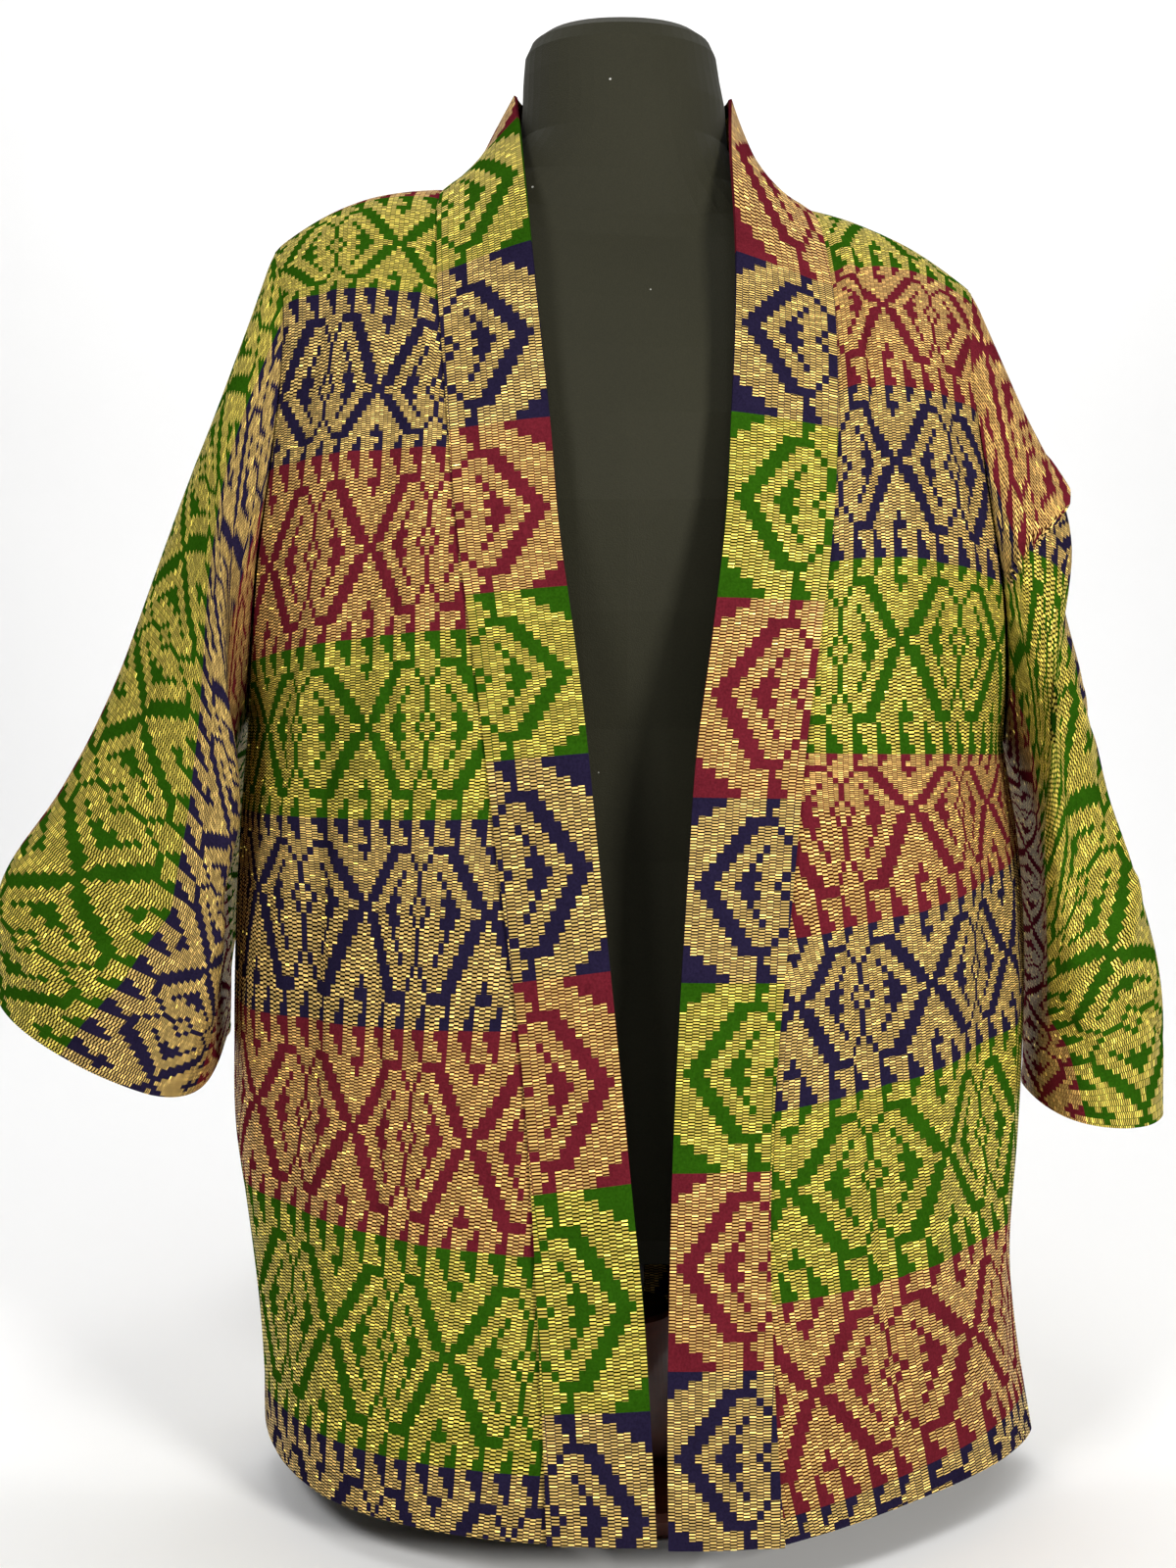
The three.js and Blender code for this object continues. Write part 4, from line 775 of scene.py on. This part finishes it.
def brocade(name, dull=False, border=False):
    n = Nodes(name)
    uv = n.node("ShaderNodeUVMap", uv_map="weave")
    split = n.node("ShaderNodeSeparateXYZ")
    n.put(split.inputs[0], uv.outputs[0])
    c, g = split.outputs[0], split.outputs[1]
    place = n.place()
    band = n.math("FLOOR", g)
    step = n.math("FLOOR", n.math("MULTIPLY", n.math("SUBTRACT", g, band), float(CHART_ROWS)))
    row = n.math("ABSOLUTE", n.math("SUBTRACT", step, CHART_ROWS / 2))
    column = n.math("FLOOR", c)
    chart = BORDER_CHART if border else CHART
    if border:
        fold = float(len(BORDER_CHART[0]) - 1)
        place_in_chart = n.math("SUBTRACT", fold, n.math("ABSOLUTE", n.math("SUBTRACT", column, fold)))
    else:
        wrapped = n.math("WRAP", n.math("ADD", column, REPEAT / 2), float(REPEAT), 0.0)
        place_in_chart = n.math("ABSOLUTE", n.math("SUBTRACT", wrapped, REPEAT / 2))
    # Each row of the chart is one number, whose binary digits are its marks.
    mask = 0.5
    for k, line in enumerate(chart):
        value = sum(2**m for m, mark in enumerate(line) if mark == "#")
        here = n.math("COMPARE", row, float(k), SAME)
        mask = n.math("MULTIPLY_ADD", here, float(value), mask)
    shifted = n.math("FLOOR", n.math("DIVIDE", mask, n.math("POWER", 2.0, place_in_chart)))
    gold = n.math("MODULO", shifted, 2.0)
    if not border:
        from_hook = n.math("SUBTRACT", column, HOOK_START - 0.5)
        across_hook = n.math("WRAP", from_hook, float(HOOK_PITCH), 0.0)
        hook = n.math("LESS_THAN", across_hook, n.math("SUBTRACT", float(HOOK_TOP), row))
        in_hooks = n.math("GREATER_THAN", row, len(CHART) - 0.5)
        gold = n.math("ADD", n.math("MULTIPLY", gold, n.math("SUBTRACT", 1.0, in_hooks)),
                      n.math("MULTIPLY", hook, in_hooks))

    # A bead is where a gold column crosses a line.
    line_at = n.math("MULTIPLY", g, float(CHART_ROWS * LINES_PER_ROW))
    odd = n.math("MODULO", n.math("ABSOLUTE", column), 2.0)
    line_at = n.math("MULTIPLY_ADD", odd, COLUMN_STAGGER, line_at)
    line = n.math("FLOOR", line_at)
    from_column = n.math("ABSOLUTE", n.math("SUBTRACT", n.math("SUBTRACT", c, column), 0.5))
    from_line = n.math("ABSOLUTE", n.math("SUBTRACT", n.math("SUBTRACT", line_at, line), 0.5))
    in_column = n.ramp(from_column, *COLUMN_EDGE)
    in_line = n.ramp(from_line, *LINE_EDGE)
    bead = n.math("MULTIPLY", n.math("MULTIPLY", in_column, in_line), gold)
    bead_number = n.node("ShaderNodeCombineXYZ")
    n.put(bead_number.inputs[0], column)
    n.put(bead_number.inputs[1], line)
    white = n.node("ShaderNodeTexWhiteNoise", noise_dimensions="2D")
    n.put(white.inputs[0], bead_number.outputs[0])
    chance = white.outputs[0]

    colour = n.math("WRAP", band, float(COLOURS), 0.0)
    is_navy = n.math("COMPARE", colour, 1.0, SAME)
    is_magenta = n.math("COMPARE", colour, 2.0, SAME)

    def by_band(kind):
        green_or_navy = n.mix(is_navy, linear(kind + "green"), linear(kind + "navy"))
        return n.mix(is_magenta, green_or_navy, linear(kind + "magenta"))

    fuzz = n.noise(place, FUZZ_SCALE, 3.0)
    patchy = n.noise(place, PATCH_SCALE, 2.0)
    of_fuzz, of_patches, always = GROUND_SHADE
    shade = n.math("MULTIPLY_ADD", fuzz, of_fuzz, n.math("MULTIPLY_ADD", patchy, of_patches, always))
    ground = n.scaled(by_band(""), shade)
    bead_tone_and_painted_glint = n.math("MULTIPLY_ADD", n.math("POWER", chance, GOLD_SPREAD), GOLD_RANGE, GOLD_LEAST)
    # Painted shade: in a gold column between its beads, the ground is swapped for the darker gap colour.
    weft = n.mix(n.math("MULTIPLY", gold, in_column), ground, by_band("painted_shade_"))
    weft = n.mix(bead, weft, n.scaled(by_band("gold_"), bead_tone_and_painted_glint))
    # Painted glint: these beads glow though no lamp lights them.
    painted_glint = n.math("MULTIPLY", n.math("GREATER_THAN", chance, PAINTED_GLINT_CHANCE), bead)

    across_column = n.math("POWER", n.math("MULTIPLY", from_column, ROUND_COLUMN), 2.0)
    round_column = n.math("SQRT", n.math("SUBTRACT", 1.0, across_column, clamp=True))
    height = n.math("MULTIPLY", n.math("MULTIPLY", round_column, in_line), gold)
    height = n.math("MULTIPLY_ADD", fuzz, FUZZ_HEIGHT, height)
    n.look({"Normal": n.bump(height, *WEAVE_BUMP)})
    if dull:
        n.look({"Base Color": n.scaled(weft, REVERSE_SHADE), "Roughness": REVERSE_ROUGHNESS,
                "Specular IOR Level": 0.0})
    else:
        rough = n.math("MULTIPLY_ADD", bead, -GOLD_SMOOTHER, GROUND_ROUGHNESS)
        n.look({"Base Color": weft,
                "Metallic": n.math("MULTIPLY", bead, GOLD_METAL),
                "Roughness": n.math("MULTIPLY_ADD", painted_glint, -PAINTED_GLINT_SMOOTHER, rough),
                "Specular IOR Level": n.math("MULTIPLY", bead, GOLD_SPECULAR),
                "Emission Color": linear("gold_green"),
                "Emission Strength": n.math("MULTIPLY", painted_glint, PAINTED_GLINT_GLOW)})
    return n.material


def form_cover():
    n = Nodes("form_cover")
    place = n.place()
    grain = n.noise(place, 1400.0, 3.0)
    patchy = n.noise(place, 9.0, 2.0)
    lint = n.node("ShaderNodeTexVoronoi")
    n.put(lint.inputs["Vector"], place)
    n.put(lint.inputs["Scale"], LINT_SCALE)
    speck = n.math("LESS_THAN", lint.outputs["Distance"], LINT_SIZE)
    shade = n.math("MULTIPLY_ADD", grain, 0.7, n.math("MULTIPLY_ADD", patchy, 0.35, 0.42))
    colour = n.scaled(linear("form"), shade)
    n.look({"Base Color": n.mix(speck, colour, LINT), "Roughness": 0.7, "Specular IOR Level": 0.22,
            "Sheen Weight": 0.04, "Sheen Roughness": 0.45, "Normal": n.bump(grain, 0.00035, 0.7)})
    return n.material


def wood():
    n = Nodes("base_wood")
    place = n.place()
    stretch = n.node("ShaderNodeMapping")
    n.put(stretch.inputs[0], place)
    n.put(stretch.inputs["Scale"], WOOD_GRAIN)
    grain = n.noise(stretch.outputs[0], 1.4, 5.0)
    colour = n.scaled(linear("wood"), n.math("MULTIPLY_ADD", grain, 1.3, 0.35))
    n.look({"Base Color": colour, "Roughness": 0.42, "Coat Weight": 0.25,
            "Normal": n.bump(grain, 0.0002, 0.4)})
    return n.material


def black_paint():
    n = Nodes("pole_metal")
    place = n.place()
    wear = n.noise(place, 240.0, 3.0)
    n.look({"Base Color": n.scaled(linear("paint"), n.math("MULTIPLY_ADD", wear, 0.5, 0.75)),
            "Roughness": n.math("MULTIPLY_ADD", wear, 0.15, 0.34),
            "Normal": n.bump(wear, 0.0001, 0.3)})
    return n.material


REVERSE = brocade("brocade_reverse", dull=True)
BORDER = brocade("brocade_border", border=True)
CLOTH = [brocade("brocade"), REVERSE]


# ---------------------------------------------------------------- build the cloth
def band_map(table):
    """g for every point of a front or back grid, from the rows where the colours change."""
    table = sorted(table, key=lambda x: x[1])
    value = arr([row[0] for row in table])
    side = arr([row[1] for row in table])
    seam = arr([row[2] for row in table])

    def at(share):
        edges = side + (seam - side) * share
        order = np.argsort(edges)
        return np.interp(ROWS, edges[order], value[order])

    return at


def arc_from(grid, column):
    step = np.linalg.norm(np.diff(grid, axis=1), axis=2)
    run = np.concatenate([np.zeros((len(grid), 1)), np.cumsum(step, 1)], 1)
    return run - run[:, column][:, None]


def column_map(table, run):
    """c for every point of a front: through its anchors, and at the cloth's own pitch beside them."""
    table = arr(table)[::-1]
    out = np.empty(run.shape)
    for j, row in enumerate(ROWS):
        at = [np.interp(row, table[:, 0], table[:, k + 1]) for k in range(len(ANCHORS))]
        at = np.interp(at, FRONT_T, run[j]) + np.maximum(arr(at) - 1, 0) * run[j, -1]
        value = np.interp(run[j], at, ANCHORS)
        value = np.where(run[j] > at[-1], ANCHORS[-1] + (run[j] - at[-1]) / COLUMN, value)
        out[j] = np.where(run[j] < at[0], ANCHORS[0] + (run[j] - at[0]) / COLUMN, value)
    return out


def seam_dip(grid, dip_size, left=True, right=True):
    """How far the cloth sinks beside the first and the last column of a grid."""
    depth, width = dip_size
    run = arc_from(grid, 0)
    total = run[:, -1][:, None]
    dip = np.zeros(run.shape)
    if left:
        dip = dip + np.exp(-((run / width) ** 2))
    if right:
        dip = dip + np.exp(-(((total - run) / width) ** 2))
    return -depth * dip


def finish_cloth(obj, node):
    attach(obj, "root")
    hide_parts(node)


def front_panel(name, table, folds, bands, columns, facing):
    grid = front_grid(table)
    normals = grid_normals(grid, facing)
    r, t = ROWS[:, None], FRONT_T[None]
    push = fold_depth(folds, r, t) * edge_fade(t)
    plain = grid + normals * push[..., None]
    normals = grid_normals(plain, facing)
    fine = ripple(plain, name) * edge_fade(t)
    fine = fine + seam_dip(plain, COLLAR_SEAM_DIP, left=False)
    fine = fine + seam_dip(plain, SIDE_SEAM_DIP, right=False)
    grid = plain + normals * fine[..., None]
    normals = grid_normals(grid, facing)
    c = column_map(columns, arc_from(grid, 0))
    at = band_map(bands)
    g = np.stack([at(share) for share in FRONT_T], 1)
    uv = np.stack([c, g], 2)
    obj = make_mesh(name, grid, grid - normals * CLOTH_WALL, uv, uv, False, facing, CLOTH)
    finish_cloth(obj, name)
    return plain, obj


front_right, front_right_obj = front_panel(
    "front_right", FRONT_RIGHT, FOLDS_FRONT_RIGHT, BANDS_FRONT_RIGHT, COLUMNS_FRONT_RIGHT, 1)
front_left, front_left_obj = front_panel(
    "front_left", FRONT_LEFT, FOLDS_FRONT_LEFT, BANDS_FRONT_LEFT, COLUMNS_FRONT_LEFT, -1)

# The back panel.
back_plain = back_grid()
BACK_LAST = back_plain.shape[1] - 1
neck_end = SHOULDER_SPANS + NECK_SPANS
all_spans = neck_end + SHOULDER_SPANS
span_at = np.concatenate([
    np.linspace(0, SHOULDER_SPANS, FRONT_COLUMNS + 1),
    np.linspace(SHOULDER_SPANS, neck_end, NECK_COLUMNS + 1)[1:],
    np.linspace(neck_end, all_spans, FRONT_COLUMNS + 1)[1:],
]) / all_spans
push = fold_depth(FOLDS_BACK, ROWS[:, None], span_at[None]) * edge_fade(span_at)[None]
back_plain = back_plain + grid_normals(back_plain, -1) * push[..., None]
fine = ripple(back_plain, "back") * edge_fade(span_at)[None] + seam_dip(back_plain, SIDE_SEAM_DIP)
back_fine = back_plain + grid_normals(back_plain, -1) * fine[..., None]
back_normals = grid_normals(back_fine, -1)
middle_column = BACK_LAST // 2
c = arc_from(back_fine, middle_column) / COLUMN
back_bands = band_map(BANDS_BACK)(0)
g = np.repeat(back_bands[:, None], BACK_LAST + 1, 1)
uv = np.stack([c, g], 2)
back_obj = make_mesh("back", back_fine, back_fine - back_normals * CLOTH_WALL, uv, uv, False, -1, CLOTH)
finish_cloth(back_obj, "back")

# The collar stands a little proud of the fronts and laps over its own seam.
collar_plain = collar_grid(back_plain)
collar_rows = len(collar_plain)
collar_r = np.concatenate([ROWS, TOP_ROW + NECK_ROWS * np.linspace(0, 1, NECK_COLUMNS + 1)[1:-1],
                           TOP_ROW + NECK_ROWS + ROWS])
neck_middle = LAST_STEP + NECK_COLUMNS // 2
lap_out = unit(collar_plain[:, 0] - collar_plain[:, 1])
width = np.linalg.norm(collar_plain[:, -1] - collar_plain[:, 0], axis=1)
collar_normals = grid_normals(collar_plain, 1)
t = np.linspace(0, 1, COLLAR_COLUMNS + 1)[None]
proud = COLLAR_PROUD * np.exp(-((t * width[:, None] / COLLAR_PROUD_WIDTH) ** 2)) + COLLAR_CLEAR
proud = proud + COLLAR_RIPPLE_SHARE * ripple(collar_plain, "collar")
collar_fine = collar_plain + collar_normals * proud[..., None]
collar_fine[:, 0] += lap_out * COLLAR_LAP
collar_fine_normals = grid_normals(collar_fine, 1)
run = width[:, None] * (1 - t)
c = run / COLLAR_COLUMN
right_g = np.interp(collar_r, [x[1] for x in BANDS_COLLAR_RIGHT], [x[0] for x in BANDS_COLLAR_RIGHT])
left_g = np.interp(collar_r, [x[1] for x in BANDS_COLLAR_LEFT], [x[0] for x in BANDS_COLLAR_LEFT])
low_g = np.where(np.arange(collar_rows) < neck_middle, right_g, left_g)
high_g = np.where(np.arange(collar_rows) <= neck_middle, right_g, left_g)
uv_low = np.stack([c, np.repeat(low_g[:, None], COLLAR_COLUMNS + 1, 1)], 2)
uv_high = np.stack([c, np.repeat(high_g[:, None], COLLAR_COLUMNS + 1, 1)], 2)
collar_obj = make_mesh("collar", collar_fine, collar_fine - collar_fine_normals * COLLAR_WALL,
                       uv_low, uv_high, False, 1, [BORDER, REVERSE])
finish_cloth(collar_obj, "collar")


# The sleeves.
def armhole_ring(front, back_column):
    down = front[ARMPIT_STEP:LAST_STEP + 1, 0][::-1]
    up = back_plain[ARMPIT_STEP + 1:LAST_STEP, back_column]
    return np.concatenate([down, up])


def stripe_map(stripes, share, index):
    """g for every point of a sleeve: bands run along it, so g changes round the ring."""
    table = arr(stripes["at"])
    out = np.empty((len(share), len(index)))
    for j, s in enumerate(share):
        places = [np.interp(s, table[:, 0], table[:, k + 1]) for k in range(len(stripes["g"]))]
        order = np.argsort(places)
        x = arr(places)[order]
        y = arr(stripes["g"])[order]
        slope_low = (y[1] - y[0]) / (x[1] - x[0])
        slope_high = (y[-1] - y[-2]) / (x[-1] - x[-2])
        value = np.interp(index, x, y)
        value = np.where(index < x[0], y[0] + (index - x[0]) * slope_low, value)
        out[j] = np.where(index > x[-1], y[-1] + (index - x[-1]) * slope_high, value)
    return out


def sleeve(name, table, front, back_column, sign, folds, stripes, crossings, facing, lapped):
    ring = armhole_ring(front, back_column)
    grid = sleeve_grid(table, ring, sign)
    rows, count = grid.shape[:2]
    share = np.arange(rows) / (rows - 1)
    around = np.arange(count) / count
    fade = clamp01(share / FOLD_EDGE_FADE)[:, None]
    push = fold_depth(folds, share[:, None], around[None], True) * fade
    normals = grid_normals(grid, facing, True)
    grid = grid + normals * push[..., None]
    normals = grid_normals(grid, facing, True)
    dip, dip_width = ARMHOLE_DIP
    fine = ripple(grid, name) * fade
    fine = fine - dip * np.exp(-((share[:, None] * SLEEVE_LENGTH / dip_width) ** 2))
    index = np.arange(count + 1) * RING_PLACES / count
    g = stripe_map(stripes, share, index)
    c = np.repeat(((share - crossings[0]) * crossings[1])[:, None], count + 1, 1)
    uv = np.stack([c, g], 2)
    uv_lap, lap = None, None
    if lapped:
        line = arr(LAP)
        edge = np.interp(index[:-1], line[:, 1], line[:, 0], left=-1, right=-1)
        over = edge[None] - share[:, None]
        step = np.where(over > 0, np.exp(-over / LAP_STEP_FADE), 0) * (edge > 0)[None]
        below = np.where(over <= 0, np.exp(over / LAP_DIP_FADE), 0) * (edge > 0)[None]
        fine = fine + (LAP_STEP * step - LAP_DIP * below) * fade
        middle = (share[:-1] + share[1:]) / 2
        lap = (edge[None] - middle[:, None]) > 0
        lap_g = LAP_BAND - LAP_BAND_SLOPE * index
        uv_lap = np.stack([c + LAP_COLUMNS, np.repeat(lap_g[None], rows, 0)], 2)
    grid = grid + normals * fine[..., None]
    normals = grid_normals(grid, facing, True)
    obj = make_mesh(name, grid, grid - normals * CLOTH_WALL, uv, uv, True, facing, CLOTH, uv_lap, lap)
    finish_cloth(obj, name)
    return obj


sleeve_right_obj = sleeve(
    "sleeve_right", SLEEVE_RIGHT, front_right, 0, -1, FOLDS_SLEEVE_RIGHT, STRIPES_SLEEVE_RIGHT,
    CROSSINGS_SLEEVE_RIGHT, -1, False)
sleeve_left_obj = sleeve(
    "sleeve_left", SLEEVE_LEFT, front_left, BACK_LAST, 1, FOLDS_SLEEVE_LEFT, STRIPES_SLEEVE_LEFT,
    CROSSINGS_SLEEVE_LEFT, 1, True)

# ---------------------------------------------------------------- the form and its stand
materials = {
    "form_torso": ("form_cover", form_cover()),
    "stand_pole": ("pole_metal", black_paint()),
    "stand_base": ("base_wood", wood()),
}
for node, (slot, material) in materials.items():
    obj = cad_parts[node]
    obj.data.materials.clear()
    obj.data.materials.append(material)

# ---------------------------------------------------------------- floor, light and camera
def stage_material():
    n = Nodes("stage")
    place = n.place()
    tone = n.noise(place, 3.0, 2.0)
    n.look({"Base Color": n.scaled(STAGE_GREY, n.math("MULTIPLY_ADD", tone, 0.02, 0.99)),
            "Roughness": 0.9})
    return n.material


def backdrop():
    """A floor that bends up into a wall behind."""
    profile = [(-FLOOR_REACH, 0.0), (BEND_START, 0.0)]
    for k in range(1, BEND_STEPS + 1):
        a = math.pi / 2 * k / BEND_STEPS
        profile.append((BEND_START + BEND_RADIUS * math.sin(a), BEND_RADIUS - BEND_RADIUS * math.cos(a)))
    profile.append((BEND_START + BEND_RADIUS, FLOOR_REACH))
    verts, faces = [], []
    for y, z in profile:
        verts += [(-FLOOR_REACH, y, z), (FLOOR_REACH, y, z)]
    for k in range(len(profile) - 1):
        faces.append((2 * k, 2 * k + 1, 2 * k + 3, 2 * k + 2))
    mesh = bpy.data.meshes.new("floor")
    mesh.from_pydata(verts, [], faces)
    mesh.materials.append(stage_material())
    mesh.polygons.foreach_set("use_smooth", np.ones(len(faces), bool))
    obj = bpy.data.objects.new("floor", mesh)
    bpy.context.scene.collection.objects.link(obj)


def area_light(name, place, target, size, power, colour):
    data = bpy.data.lights.new(name, "AREA")
    data.shape = "RECTANGLE"
    data.size, data.size_y = size
    data.energy = power
    data.color = colour
    obj = bpy.data.objects.new(name, data)
    obj.location = place
    obj.rotation_euler = (Vector(target) - Vector(place)).to_track_quat("-Z", "Y").to_euler()
    bpy.context.scene.collection.objects.link(obj)


backdrop()
for light in LIGHTS:
    area_light(*light)

world = bpy.data.worlds.new("studio")
bpy.context.scene.world = world
world.use_nodes = True
background = world.node_tree.nodes["Background"]
background.inputs[0].default_value = (1, 1, 1, 1)
background.inputs[1].default_value = WORLD_LIGHT

camera_data = bpy.data.cameras.new("camera")
camera_data.sensor_width = CAMERA_SENSOR
camera_data.lens = CAMERA_LENS
camera_data.shift_y = CAMERA_SHIFT_UP
camera_data.clip_start = CAMERA_CLIP
camera = bpy.data.objects.new("camera", camera_data)
camera.location = CAMERA_PLACE
camera.rotation_euler = (math.pi / 2, 0, 0)
bpy.context.scene.collection.objects.link(camera)
bpy.context.scene.camera = camera
bpy.context.scene.view_settings.view_transform = "Standard"
